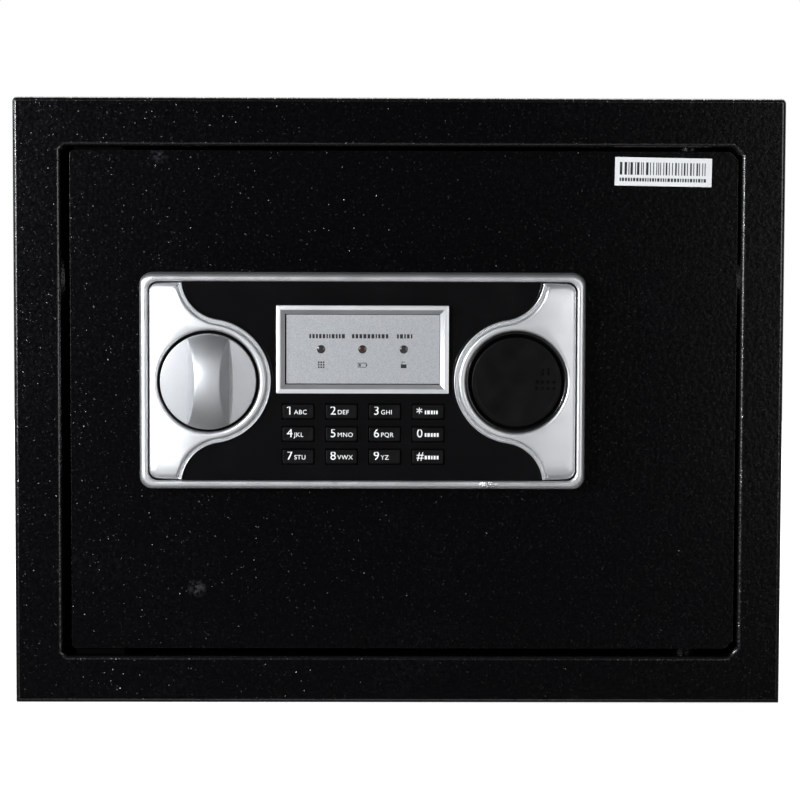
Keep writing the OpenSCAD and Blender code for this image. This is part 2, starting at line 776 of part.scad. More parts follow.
// A plate at each end of every cell, with a cone towards the cell.
module battery_contacts() {
    plate_t = 0.6;
    mid_x = (box_x0 + box_x1) / 2;
    plate_x = mid_x - box_x0 - box_wall;
    color("#c9ccd0")
        for (i = [0 : 3], side = [0, 1])
            translate([mid_x, cell_y, cell_z(i)]) mirror([side, 0, 0]) {
                slab([plate_x - plate_t, -5, -5], [plate_x, 5, 5]);
                translate([cell_l / 2, 0, 0]) rotate([0, 90, 0])
                    cylinder(h = plate_x - plate_t - cell_l / 2, r1 = 2.2, r2 = 3.6);
            }
}

module battery_cover() {
    color("#141415") {
        slab([box_x0 - 2, cover_y1, box_z0 - 2], [box_x1 + 2, cover_y1 + 2, box_z1 + 2]);
        slab([box_x0 + box_wall + loose_fit, cover_y1 - cover_t, box_z0 + box_wall + loose_fit],
             [box_x1 - box_wall - loose_fit, cover_y1, box_z1 - box_wall - loose_fit]);
        for (i = [0 : 4])
            slab([box_x0 + 20, cover_y1 + 2, box_z1 - 6 - 3 * i], [box_x1 - 20, cover_y1 + 2.8, box_z1 - 4.8 - 3 * i]);
    }
}

// Red button that a new code is set with.
module reset_button() {
    color("#b3191c") {
        rod_y(reset_x, reset_z, cover_y1 - cover_t - 1, cover_y1 + 2, reset_r);
        rod_y(reset_x, reset_z, cover_y1 - cover_t - 1.2, cover_y1 - cover_t - 0.2, reset_r + 1.5);
        rod_y(reset_x, reset_z, cover_y1 - cover_t - 5, cover_y1 - cover_t - 1, 2);
    }
}

// Cup behind the cover that the button is pushed into.
module reset_switch() {
    cup_y0 = cover_y1 - cover_t - 8;
    color("#101011") difference() {
        rod_y(reset_x, reset_z, cup_y0, cover_y1 - cover_t, reset_r + 3);
        rod_y(reset_x, reset_z, cup_y0 + 4, cover_y1, reset_r + 1.8);
        rod_y(reset_x, reset_z, cup_y0 + 1, cover_y1, 2 + run_fit);
    }
}

// Driver board on standoffs, with its chip, two sockets and a capacitor.
module control_board() {
    board_y = door_y1 + 2;
    top_y = board_y + board_t;
    color("#1f5a34") {
        slab([-20, board_y, panel_z + 25], [45, top_y, panel_z + 75]);
        for (x = [-15, 40], z = [30, 70])
            rod_y(x, panel_z + z, door_y1, board_y, 2.5);
        slab([-18, top_y, panel_z + 30], [-10, top_y + 5.4, panel_z + 40]);
        slab([35, top_y - board_t, panel_z + 45], [45, top_y + 3, panel_z + 51]);
        slab([0, top_y, panel_z + 50], [18, top_y + 3, panel_z + 60]);
        rod_y(30, panel_z + 65, top_y, top_y + 8, 4);
    }
}

// Lead from the keypad board through the door, and the battery lead behind the plate.
module wire_harness() {
    lead_r = 1.5;
    cable_x = panel_x - 16;
    cable_z = panel_z + 35;
    cable_y = door_y1 + 5.5;
    feed_r = 1.2;
    feed_y = door_y1 + 2.5;
    feed_x = 84;
    feed_z = panel_z + 48;
    color("#b3191c") {
        rod_y(cable_x, cable_z, board_y0 + board_t, cable_y, lead_r);
        translate([cable_x, cable_y, cable_z]) sphere(lead_r);
        rod_x(cable_x, -18, cable_y, cable_z, lead_r);
        rod_x(45, feed_x, feed_y, feed_z, feed_r);
        translate([feed_x, feed_y, feed_z]) sphere(feed_r);
        rod_z(feed_x, feed_y, box_z1 - 6, feed_z, feed_r);
        translate([feed_x, feed_y, box_z1 - 6]) sphere(feed_r);
        rod_y(feed_x, box_z1 - 6, feed_y, box_y0, feed_r);
    }
}

cabinet_wrap();
base_plate();
back_panel();
front_frame();
floor_mat();
hinge_pins();
hinge_washers();
door_plate();
hinge_blocks();
mechanism_cover();
cover_screws();
panel_base();
panel_rim();
fascia();
left_shield();
right_shield();
window_bezel();
display_plate();
indicator_leds();
circuit_board();
keypad_mat();
cover_seat();
key_cylinder();
cylinder_nut();
knob_bush();
panel_screws();
carriage_studs();
solenoid_frame();
solenoid_coil();
plunger_spring();
battery_box();
battery_contacts();
batteries();
control_board();
wire_harness();
blank_label();
reset_switch();
knob();
knob_shaft();
crank_disc();
bolt_carriage();
live_bolts();
solenoid_plunger();
key_plug();
override_cam();
keyhole_cover();
battery_cover();
reset_button();
for (i = [0 : 11])
    key_cap(i);
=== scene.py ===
import json
import random
from math import asin, atan2, cos, degrees, pi, radians, sin, sqrt

import bmesh
import bpy
from mathutils import Matrix, Vector


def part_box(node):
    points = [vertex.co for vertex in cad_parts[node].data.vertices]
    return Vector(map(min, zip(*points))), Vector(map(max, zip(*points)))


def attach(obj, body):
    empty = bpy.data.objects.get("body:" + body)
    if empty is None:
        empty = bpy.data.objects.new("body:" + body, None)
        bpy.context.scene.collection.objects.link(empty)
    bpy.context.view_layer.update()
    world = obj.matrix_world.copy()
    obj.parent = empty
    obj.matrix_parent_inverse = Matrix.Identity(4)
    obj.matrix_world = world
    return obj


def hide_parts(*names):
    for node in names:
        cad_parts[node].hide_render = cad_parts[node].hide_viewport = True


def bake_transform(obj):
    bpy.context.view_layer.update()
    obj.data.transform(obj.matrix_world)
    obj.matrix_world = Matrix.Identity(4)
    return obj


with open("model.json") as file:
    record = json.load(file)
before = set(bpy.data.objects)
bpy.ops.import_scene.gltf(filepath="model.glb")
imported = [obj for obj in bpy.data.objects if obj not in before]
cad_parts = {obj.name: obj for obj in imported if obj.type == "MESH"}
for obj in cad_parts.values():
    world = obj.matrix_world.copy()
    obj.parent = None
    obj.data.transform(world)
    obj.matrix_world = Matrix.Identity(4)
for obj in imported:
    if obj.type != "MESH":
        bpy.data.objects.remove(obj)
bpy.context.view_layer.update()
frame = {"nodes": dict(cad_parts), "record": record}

MM = 0.001
RECORD = frame["record"]
SLOT_OF = {part["node"]: part["material_slot"] for part in RECORD["subparts"]}
BODY_OF = {node: body for body, nodes in RECORD["behaviour"]["bodies"].items() for node in nodes}


def box_mm(node):
    """Lowest corner, highest corner and middle of a CAD node, in millimetres."""
    low, high = (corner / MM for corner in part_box(node))
    return low, high, (low + high) / 2


# ---------------------------------------------------------------- finishes

RANGE_SOCKETS = ("From Min", "From Max", "To Min", "To Max")


class Finish:
    """A material whose patterns are laid out in millimetres on the piece itself."""

    def __init__(self, name, color, roughness, metallic=0.0, specular=0.5, coat=0.0, coat_roughness=0.1):
        self.name = name
        self.material = bpy.data.materials.new(name)
        self.material.use_nodes = True
        self.tree = self.material.node_tree
        self.shader = self.tree.nodes["Principled BSDF"]
        self.color = color
        self.set("Base Color", (*color, 1))
        self.set("Roughness", roughness)
        self.set("Metallic", metallic)
        self.set("Specular IOR Level", specular)
        self.set("Coat Weight", coat)
        self.set("Coat Roughness", coat_roughness)
        place = self.add("ShaderNodeTexCoord").outputs["Object"]
        self.mm = self.stretched(place, (1 / MM,) * 3)
        self.normal = None

    def add(self, kind, **settings):
        node = self.tree.nodes.new(kind)
        for key, value in settings.items():
            setattr(node, key, value)
        return node

    def feed(self, socket, value):
        """Links a socket to another, or sets it to a plain number or colour."""
        if isinstance(value, bpy.types.NodeSocket):
            self.tree.links.new(value, socket)
        else:
            socket.default_value = value

    def set(self, name, value):
        self.feed(self.shader.inputs[name], value)

    def stretched(self, vector, scale, turn=(0, 0, 0)):
        node = self.add("ShaderNodeMapping")
        self.feed(node.inputs["Vector"], vector)
        node.inputs["Scale"].default_value = scale
        node.inputs["Rotation"].default_value = turn
        return node.outputs["Vector"]

    def noise(self, size, detail=2.0, along=(1, 1, 1), roughness=0.5):
        """Soft noise with features of the given size in millimetres, drawn out along the axes."""
        vector = self.mm if along == (1, 1, 1) else self.stretched(self.mm, tuple(1 / a for a in along))
        node = self.add("ShaderNodeTexNoise")
        self.feed(node.inputs["Vector"], vector)
        node.inputs["Scale"].default_value = 1 / size
        node.inputs["Detail"].default_value = detail
        node.inputs["Roughness"].default_value = roughness
        return node.outputs["Fac"]

    def cells(self, size):
        """Distance field of scattered cells of the given size in millimetres."""
        node = self.add("ShaderNodeTexVoronoi")
        self.feed(node.inputs["Vector"], self.mm)
        node.inputs["Scale"].default_value = 1 / size
        return node.outputs["Distance"]

    def spread(self, value, low, high, new_low, new_high):
        """Maps low..high to new_low..new_high."""
        node = self.add("ShaderNodeMapRange")
        self.feed(node.inputs["Value"], value)
        for key, number in zip(RANGE_SOCKETS, (low, high, new_low, new_high)):
            node.inputs[key].default_value = number
        return node.outputs["Result"]

    def sum(self, first, second, operation="ADD"):
        node = self.add("ShaderNodeMath", operation=operation)
        self.feed(node.inputs[0], first)
        self.feed(node.inputs[1], second)
        return node.outputs[0]

    def blend(self, factor, first, second):
        """Mixes two colours by a factor."""
        node = self.add("ShaderNodeMix", data_type="RGBA")
        self.feed(node.inputs[0], factor)
        self.feed(node.inputs[6], first)
        self.feed(node.inputs[7], second)
        return node.outputs[2]

    def bump(self, height, depth):
        """Raises the surface by a pattern, depth in millimetres, on top of any earlier bump."""
        node = self.add("ShaderNodeBump")
        node.inputs["Distance"].default_value = depth * MM
        self.feed(node.inputs["Height"], height)
        if self.normal is not None:
            self.feed(node.inputs["Normal"], self.normal)
        self.normal = node.outputs["Normal"]
        self.set("Normal", self.normal)

    def spot(self, centre, radius):
        """A mask that falls from 1 at a point to 0 at a radius, in millimetres."""
        apart = self.add("ShaderNodeVectorMath", operation="DISTANCE")
        self.feed(apart.inputs[0], self.mm)
        apart.inputs[1].default_value = centre
        return self.spread(apart.outputs["Value"], 0, radius, 1, 0)

    def facets(self, size, tilt):
        """Tilts scattered cells of the surface, most of them hardly, a few strongly."""
        calm_share = 0.86
        least = 0.04
        cell = self.add("ShaderNodeTexVoronoi")
        self.feed(cell.inputs["Vector"], self.mm)
        cell.inputs["Scale"].default_value = 1 / size
        parts = self.add("ShaderNodeSeparateColor")
        self.feed(parts.inputs[0], cell.outputs["Color"])
        lean = self.add("ShaderNodeVectorMath", operation="SUBTRACT")
        self.feed(lean.inputs[0], cell.outputs["Color"])
        lean.inputs[1].default_value = (0.5, 0.5, 0.5)
        scaled = self.add("ShaderNodeVectorMath", operation="SCALE")
        self.feed(scaled.inputs[0], lean.outputs[0])
        self.feed(scaled.inputs["Scale"], self.spread(parts.outputs[1], calm_share, 1.0, least, tilt))
        leaned = self.add("ShaderNodeVectorMath", operation="ADD")
        self.feed(leaned.inputs[0], self.add("ShaderNodeNewGeometry").outputs["Normal"])
        self.feed(leaned.inputs[1], scaled.outputs[0])
        unit = self.add("ShaderNodeVectorMath", operation="NORMALIZE")
        self.feed(unit.inputs[0], leaned.outputs[0])
        self.normal = unit.outputs[0]

    def edges(self, radius):
        """A mask that is 1 along outer and inner edges, radius in millimetres."""
        rounded = self.add("ShaderNodeBevel", samples=4)
        rounded.inputs["Radius"].default_value = radius * MM
        flat = self.add("ShaderNodeNewGeometry").outputs["Normal"]
        dot = self.add("ShaderNodeVectorMath", operation="DOT_PRODUCT")
        self.feed(dot.inputs[0], rounded.outputs["Normal"])
        self.feed(dot.inputs[1], flat)
        return self.spread(dot.outputs["Value"], 0.99, 0.8, 0.0, 1.0)

    def tint(self, factor, other):
        """Varies the base colour towards another colour by a factor."""
        self.set("Base Color", self.blend(factor, (*self.color, 1), (*other, 1)))


MARKS_ON_DOOR = ((-118, -147, 272), (-100, -147, 57))
MARK_R = 5
LINT = (0.16, 0.16, 0.18)


def powder_coat(name, color, specular, haze):
    """Fine textured powder coat: tiny tilted facets on a slow orange peel, with a trace of dust."""
    coat = Finish(name, color, 0.2, specular=specular)
    coat.facets(0.52, 0.52)
    peel = coat.noise(2.2, detail=2)
    dust = coat.sum(coat.spread(coat.noise(46, detail=3), 0.56, 0.78, 0, 1),
                    coat.spread(coat.noise(3.2, detail=4), 0.45, 0.75, 0, 1), "MULTIPLY")
    fluff = coat.spread(coat.noise(1.8, detail=5), 0.42, 0.7, 0, 0.3)
    smears = coat.sum(*(coat.spot(mark, MARK_R) for mark in MARKS_ON_DOOR))
    dust = coat.sum(coat.sum(dust, haze, "MULTIPLY"), coat.sum(smears, fluff, "MULTIPLY"))
    coat.tint(dust, LINT)
    coat.set("Roughness", coat.spread(coat.noise(1.6, detail=2), 0.3, 0.7, 0.16, 0.26))
    coat.bump(coat.spread(peel, 0.25, 0.75, 0, 1), 0.05)
    return coat


def silver_paint(name, color, roughness, metallic, grain, speckle=0.05, scuff=None):
    """Satin silver paint on moulded plastic: fine flake, faint flow and, if given, one scuffed place."""
    paint = Finish(name, color, roughness, metallic=metallic, coat=0.15, coat_roughness=0.22)
    flake = paint.noise(0.16, detail=1)
    paint.tint(paint.spread(flake, 0.3, 0.7, 0, speckle), tuple(c * 0.72 for c in color))
    flow = paint.noise(14, detail=2)
    paint.set("Roughness", paint.sum(paint.spread(flow, 0.3, 0.7, roughness - 0.04, roughness + 0.05),
                                     paint.spread(flake, 0.3, 0.7, -speckle / 8, speckle / 8)))
    paint.bump(flake, grain)
    if scuff:
        paint.bump(paint.sum(paint.noise(0.9, detail=3), paint.spot(scuff, 4.5), "MULTIPLY"), 1.6)
    return paint


def moulded(name, color, roughness, grain, depth, specular=0.5, coat=0.0):
    """Moulded plastic or rubber with a spark-eroded grain."""
    plastic = Finish(name, color, roughness, specular=specular, coat=coat)
    skin_grain = plastic.noise(grain, detail=2)
    handled = plastic.noise(9, detail=3)
    plastic.tint(plastic.spread(handled, 0.4, 0.7, 0, 0.3), tuple(min(1, c * 1.5 + 0.0015) for c in color))
    plastic.set("Roughness", plastic.spread(handled, 0.3, 0.7, roughness - 0.05, roughness + 0.08))
    plastic.bump(skin_grain, depth)
    return plastic


def polished_black(name, roughness, specular):
    """Polished black plastic with hairline scratches and a trace of dust."""
    gloss = Finish(name, (0.0034, 0.0034, 0.0037), roughness, specular=specular)
    hair = gloss.noise(0.25, detail=2, along=(40, 1, 1))
    speck = gloss.spread(gloss.cells(2.6), 0.0, 0.06, 1, 0)
    smear = gloss.noise(22, detail=3)
    gloss.tint(gloss.sum(speck, 0.5, "MULTIPLY"), (0.08, 0.08, 0.08))
    gloss.set("Roughness", gloss.sum(gloss.spread(smear, 0.35, 0.7, roughness, roughness + 0.1),
                                     gloss.spread(hair, 0.62, 0.75, 0, 0.08)))
    gloss.bump(hair, 0.002)
    return gloss


def metal(name, color, roughness, streak=(1, 1, 1), grain=0.3, depth=0.006, cloud=0.12):
    """Bare or plated metal: drawn-out tool marks, cloudy plating and brighter rubbed edges."""
    bare = Finish(name, color, roughness, metallic=1.0)
    marks = bare.noise(grain, detail=3, along=streak)
    clouds = bare.noise(7, detail=3)
    rubbed = bare.sum(bare.edges(0.5), bare.spread(clouds, 0.35, 0.6, 0.2, 1), "MULTIPLY")
    darker = [c * 0.75 for c in color]
    brighter = [min(1, c * 1.25) for c in color]
    dull = bare.blend(bare.spread(clouds, 0.35, 0.7, 0, cloud * 4), (*color, 1), (*darker, 1))
    bare.set("Base Color", bare.blend(rubbed, dull, (*brighter, 1)))
    bare.set("Roughness", bare.sum(bare.spread(marks, 0.3, 0.7, roughness - 0.06, roughness + 0.08),
                                   bare.spread(clouds, 0.3, 0.7, -0.03, 0.05)))
    bare.bump(marks, depth)
    return bare


def grained_sheet(name):
    """Sandy silver foil laid on the display plate."""
    foil = Finish(name, (0.62, 0.625, 0.645), 0.42, metallic=0.6)
    sand = foil.noise(0.42, detail=2.5, roughness=0.7)
    fine = foil.noise(0.16, detail=1)
    foil.tint(foil.spread(sand, 0.38, 0.62, 0, 1), (0.42, 0.425, 0.44))
    foil.set("Roughness", foil.spread(fine, 0.3, 0.7, 0.34, 0.52))
    foil.bump(sand, 0.02)
    return foil


def board_mask(name):
    """Green solder mask with copper tracks showing through as lighter lines."""
    board = Finish(name, (0.012, 0.07, 0.028), 0.3, coat=0.3)
    tracks = board.add("ShaderNodeTexBrick", offset=0.37, squash=1.0)
    board.feed(tracks.inputs["Vector"], board.stretched(board.mm, (1, 1, 1), (pi / 2, 0, 0)))
    tracks.inputs["Scale"].default_value = 0.16
    tracks.inputs["Mortar Size"].default_value = 0.045
    lines = tracks.outputs["Fac"]
    board.tint(lines, (0.035, 0.16, 0.06))
    board.set("Roughness", board.spread(board.noise(1.2), 0.3, 0.7, 0.24, 0.4))
    board.bump(lines, 0.03)
    return board


def foam(name):
    """Closed-cell foam: open pores in a matt skin."""
    cell = Finish(name, (0.022, 0.022, 0.024), 0.8, specular=0.2)
    pores = cell.spread(cell.cells(0.9), 0.05, 0.35, 0, 1)
    cell.tint(cell.spread(cell.noise(18, detail=3), 0.4, 0.7, 0, 0.6), (0.05, 0.05, 0.052))
    cell.set("Roughness", cell.spread(pores, 0, 1, 0.92, 0.7))
    cell.bump(pores, 0.12)
    return cell


def wrapped_tape(name):
    """Yellow-brown insulating tape, lapped round a winding."""
    tape = Finish(name, (0.32, 0.11, 0.03), 0.35, coat=0.2)
    laps = tape.add("ShaderNodeTexWave", wave_type="BANDS", bands_direction="Z", wave_profile="SAW")
    tape.feed(laps.inputs["Vector"], tape.mm)
    laps.inputs["Scale"].default_value = 0.05
    laps.inputs["Distortion"].default_value = 0.6
    tape.tint(tape.spread(tape.noise(2.5, detail=3), 0.35, 0.7, 0, 0.6), (0.16, 0.05, 0.015))
    tape.set("Roughness", tape.spread(tape.noise(0.8), 0.3, 0.7, 0.28, 0.45))
    tape.bump(laps.outputs["Fac"], 0.08)
    return tape


def paper(name, color, roughness):
    """Coated paper or screen ink: faint fibre and an uneven lay."""
    stock = Finish(name, color, roughness, specular=0.35)
    fibre = stock.noise(0.3, detail=4, along=(3, 1, 1))
    stock.tint(stock.spread(fibre, 0.4, 0.75, 0, 0.35), tuple(c * 0.86 for c in color))
    stock.set("Roughness", stock.spread(stock.noise(3), 0.3, 0.7, roughness - 0.06, roughness + 0.08))
    stock.bump(fibre, 0.006)
    return stock


def lens(name, color):
    """Tinted lamp lens, clear coated over a dark body."""
    glassy = Finish(name, color, 0.18, specular=0.5, coat=0.8, coat_roughness=0.05)
    swirl = glassy.noise(1.1, detail=2)
    glassy.tint(glassy.spread(swirl, 0.35, 0.7, 0, 0.5), tuple(c * 0.5 for c in color))
    glassy.set("Roughness", glassy.spread(swirl, 0.3, 0.7, 0.14, 0.26))
    glassy.bump(swirl, 0.01)
    return glassy


SILVER = (0.80, 0.805, 0.82)
SCUFF_ON_RIM = (44, -159, 109.8)

# One finish for each material slot of the CAD, by its name
FINISH = {finish.name: finish for finish in (
    powder_coat("black_coat", (0.0012, 0.0012, 0.0015), 0.13, 0.02),
    powder_coat("inner_coat", (0.014, 0.014, 0.0155), 0.35, 0.05),
    foam("mat_felt"),
    metal("steel", (0.60, 0.60, 0.61), 0.26, streak=(1, 1, 12), grain=0.2),
    metal("zinc_steel", (0.60, 0.62, 0.64), 0.36, grain=0.4, depth=0.008, cloud=0.2),
    metal("bolt_steel", (0.68, 0.68, 0.69), 0.2, streak=(1, 14, 14), grain=0.12),
    metal("brass", (0.72, 0.53, 0.22), 0.28, streak=(6, 1, 6), grain=0.15),
    moulded("black_plastic", (0.012, 0.012, 0.012), 0.5, 0.25, 0.02, specular=0.4),
    silver_paint("rim_silver", SILVER, 0.36, 0.88, 0.0008, scuff=SCUFF_ON_RIM),
    silver_paint("shield_silver", SILVER, 0.42, 0.9, 0.0012),
    silver_paint("knob_silver", (0.62, 0.625, 0.64), 0.5, 0.9, 0.012, speckle=0.3),
    grained_sheet("display_silver"),
    polished_black("fascia_black", 0.14, 0.2),
    moulded("cap_black", (0.0028, 0.0028, 0.0029), 0.36, 0.2, 0.008, specular=0.11),
    moulded("key_black", (0.0018, 0.0018, 0.0021), 0.42, 0.22, 0.012, specular=0.15),
    lens("led_lens", (0.035, 0.032, 0.036)),
    board_mask("board_green"),
    moulded("mat_rubber", (0.045, 0.046, 0.05), 0.6, 0.3, 0.02),
    wrapped_tape("coil_tape"),
    moulded("cell_sleeve", (0.012, 0.05, 0.16), 0.25, 0.8, 0.006, coat=0.5),
    moulded("wire_red", (0.32, 0.012, 0.012), 0.38, 0.5, 0.01),
    paper("label_white", (0.86, 0.86, 0.87), 0.42),
    moulded("button_red", (0.42, 0.012, 0.012), 0.22, 0.5, 0.004, coat=0.4),
)}
# Finishes for parts of pieces
# A lighter copy of the black coat for the cabinet's sides, base and back: painted light, so these faces look
# lit while the front stays deep black. It also carries a little more dust.
LIT_OUTER_COAT = powder_coat("outer_coat_painted_light", (0.005, 0.005, 0.0057), 0.4, 0.04)
EDGE_COAT = powder_coat("edge_coat", (0.002, 0.002, 0.0024), 0.85, 0.0)
# Steel for the hinge pins, darkened far below bare steel as painted shade: the pins show only in the shaded
# gaps round the door.
PIN_STEEL_SHADED = metal("pin_steel_painted_shade", (0.05, 0.05, 0.052), 0.4)
BEZEL_BAND = silver_paint("bezel_band", SILVER, 0.42, 0.6, 0.0008)
# A darker copy of the bezel's silver for its inner slopes: painted shade.
BEZEL_SLOPE_SHADED = silver_paint("bezel_slope_painted_shade", (0.58, 0.585, 0.60), 0.5, 0.9, 0.0008)
WHITE_INK = paper("white_ink", (0.9, 0.9, 0.9), 0.5)
DARK_INK = paper("dark_ink", (0.02, 0.02, 0.022), 0.5)
RING_BLACK = polished_black("ring_black", 0.14, 0.6)
RED_LENS = lens("red_lens", (0.048, 0.024, 0.024))
# Near-black matt finish that stands for shade: it is put on faces in gaps and recesses as painted shade.
SHADE_BLACK = moulded("painted_shade_black", (0.0006, 0.0006, 0.0006), 0.7, 0.3, 0.01, specular=0.03)


# ---------------------------------------------------------------- making meshes


def arc(cx, cz, r, start, end, steps):
    """Points along an arc between two angles in degrees, both ends included."""
    angles = [radians(start + (end - start) * i / steps) for i in range(steps + 1)]
    return [(cx + r * cos(a), cz + r * sin(a)) for a in angles]


def line(start, end, steps):
    """Points between two points, both ends left out."""
    return [tuple(a + (b - a) * i / steps for a, b in zip(start, end)) for i in range(1, steps)]


def round_rect(w, h, r, steps):
    """Closed outline of a rectangle with round corners, about the origin."""
    r = max(r, 0.05)
    corners = ((1, 1, 0), (-1, 1, 90), (-1, -1, 180), (1, -1, 270))
    return [p for sx, sz, turn in corners
            for p in arc(sx * (w / 2 - r), sz * (h / 2 - r), r, turn, turn + 90, steps)]


def eased(points, radius, steps):
    """The same open line with each inner corner rounded."""
    out = [points[0]]
    for before, corner, after in zip(points, points[1:], points[2:]):
        before, corner, after = Vector(before), Vector(corner), Vector(after)
        into = before - corner
        away = after - corner
        reach = min(radius, into.length * 0.49, away.length * 0.49)
        a = corner + into.normalized() * reach
        b = corner + away.normalized() * reach
        for i in range(steps + 1):
            t = i / steps
            out.append(tuple(a * (1 - t) ** 2 + corner * 2 * t * (1 - t) + b * t * t))
    return out + [points[-1]]


def skin(loops, ring=False, caps=(True, True)):
    """Vertices and faces of a surface through loops of equally many points; ring joins last to first."""
    count = len(loops[0])
    verts = [point for loop in loops for point in loop]
    faces = []
    for k in range(len(loops) if ring else len(loops) - 1):
        a = k * count
        b = (k + 1) % len(loops) * count
        faces += [(a + i, a + (i + 1) % count, b + (i + 1) % count, b + i) for i in range(count)]
    if not ring and caps[0]:
        faces.append(tuple(range(count)))
    if not ring and caps[1]:
        faces.append(tuple(range(len(verts) - count, len(verts))))
    return verts, faces


def turned(cx, cz, profile, steps):
    """A solid of revolution about a line along Y, from (radius, y) pairs."""
    loops = [[(x, y, z) for x, z in arc(cx, cz, r, 0, 360, steps)[:-1]] for r, y in profile]
    return skin(loops, caps=(profile[0][0] > 0, profile[-1][0] > 0))


def framed(cx, cz, w, h, r, profile, steps, ring=False, inner_r=None):
    """A surface that follows a round-cornered rectangle, from (inset, y) pairs."""
    deepest = max(d for d, y in profile)
    loops = []
    for d, y in profile:
        corner = r - d if inner_r is None else r + (inner_r - r) * d / deepest
        loops.append([(cx + x, y, cz + z) for x, z in round_rect(w - 2 * d, h - 2 * d, corner, steps)])
    return skin(loops, ring=ring)


def block(low, high):
    """A plain box between two corners."""
    (x0, y0, z0), (x1, y1, z1) = low, high
    return skin([[(x0, y, z0), (x1, y, z0), (x1, y, z1), (x0, y, z1)] for y in (y0, y1)])


def shade(bm, sharp_angle):
    """Smooth faces, with edges sharper than the angle kept crisp."""
    for face in bm.faces:
        face.smooth = True
    for edge in bm.edges:
        edge.smooth = len(edge.link_faces) == 2 and edge.calc_face_angle(0) < radians(sharp_angle)


def in_scene(name, data):
    """A new object in the scene that holds a mesh, text, lamp or camera."""
    thing = bpy.data.objects.new(name, data)
    bpy.context.scene.collection.objects.link(thing)
    return thing


def stand_up(name, bm, *materials):
    """Turns a bmesh into an object of its own."""
    mesh = bpy.data.meshes.new(name)
    bm.to_mesh(mesh)
    bm.free()
    for material in materials:
        mesh.materials.append(material)
    return in_scene(name, mesh)


def make(name, shapes, finish, sharp=38):
    """A piece from (vertices in millimetres, faces) shapes, closed and facing outwards."""
    bm = bmesh.new()
    for verts, faces in shapes:
        made = [bm.verts.new(Vector(v) * MM) for v in verts]
        for face in faces:
            bm.faces.new([made[i] for i in face])
    bmesh.ops.remove_doubles(bm, verts=bm.verts, dist=1e-7)
    bmesh.ops.recalc_face_normals(bm, faces=bm.faces)
    shade(bm, sharp)
    return stand_up(name, bm, finish.material)


def settled(piece):
    """Turns a piece's modifiers into plain mesh."""
    graph = bpy.context.evaluated_depsgraph_get()
    shape = bpy.data.meshes.new_from_object(piece.evaluated_get(graph))
    piece.modifiers.clear()
    piece.data = shape
    return piece


def fit(piece, node, replaces=True):
    """The piece rides with a node's body and, if it stands for the node, hides it."""
    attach(piece, BODY_OF[node])
    if replaces:
        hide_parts(node)
    return piece


def merged(node):
    """A CAD node's mesh as a bmesh, its loose triangles merged into whole flat faces."""
    bm = bmesh.new()
    bm.from_mesh(frame["nodes"][node].data)
    bmesh.ops.remove_doubles(bm, verts=bm.verts, dist=1e-6)
    bmesh.ops.dissolve_limit(bm, angle_limit=radians(0.5), verts=bm.verts, edges=bm.edges)
    return bm


def dress(node, edge, only=None, finish=None, steps=2, deep=None, worn=None):
    """A copy of a CAD node with its edges eased by some millimetres, which stands for it.

    deep is (y, finish): faces wholly behind that depth get the other finish.
    worn is the finish of the eased edges."""
    bm = merged(node)
    picked = [e for e in bm.edges if len(e.link_faces) == 2 and e.calc_face_angle(0) > radians(35)
              and (only is None or only([v.co / MM for v in e.verts]))]
    eased_faces = bmesh.ops.bevel(bm, geom=picked, offset=edge * MM, segments=steps, profile=0.5,
                                  affect="EDGES", clamp_overlap=True)["faces"]
    shade(bm, 38)
    coats = [finish or FINISH[SLOT_OF[node]]]
    if deep:
        coats.append(deep[1])
        for face in bm.faces:
            if min(v.co.y for v in face.verts) > deep[0] * MM:
                face.material_index = 1
    if worn:
        coats.append(worn)
        for face in eased_faces:
            face.material_index = len(coats) - 1
    piece = stand_up(node + "_finished", bm, *(coat.material for coat in coats))
    piece.modifiers.new("flat_faces", "WEIGHTED_NORMAL").keep_sharp = True
    return fit(settled(piece), node)


# ---------------------------------------------------------------- geometry node trees


class Tree:
    """A geometry node tree with named inputs."""

    def __init__(self, name, **inputs):
        self.tree = bpy.data.node_groups.new(name, "GeometryNodeTree")
        face = self.tree.interface
        face.new_socket("Geometry", in_out="INPUT", socket_type="NodeSocketGeometry")
        for label, kind in inputs.items():
            face.new_socket(label, in_out="INPUT", socket_type="NodeSocket" + kind)
        face.new_socket("Geometry", in_out="OUTPUT", socket_type="NodeSocketGeometry")
        self.given = self.add("NodeGroupInput").outputs
        self.result = self.add("NodeGroupOutput").inputs["Geometry"]

    def add(self, kind, settings=None, **links):
        node = self.tree.nodes.new(kind)
        for key, value in (settings or {}).items():
            setattr(node, key, value)
        for label, value in links.items():
            socket = node.inputs[label.replace("_", " ")]
            if isinstance(value, bpy.types.NodeSocket):
                self.tree.links.new(value, socket)
            else:
                socket.default_value = value
        return node

    def finish(self, geometry):
        """Real geometry, smooth, in the given material."""
        real = self.add("GeometryNodeRealizeInstances", Geometry=geometry)
        smooth = self.add("GeometryNodeSetShadeSmooth", Geometry=real.outputs[0])
        coated = self.add("GeometryNodeSetMaterial", Geometry=smooth.outputs[0],
                          Material=self.given["Material"])
        self.tree.links.new(coated.outputs[0], self.result)

    def run(self, name, seed_piece, **values):
        """Runs the tree on a piece and leaves the result as its plain mesh."""
        modifier = seed_piece.modifiers.new(name, "NODES")
        modifier.node_group = self.tree
        for socket in self.tree.interface.items_tree:
            if socket.in_out == "INPUT" and socket.name in values:
                modifier[socket.identifier] = values[socket.name]
        return settled(seed_piece)


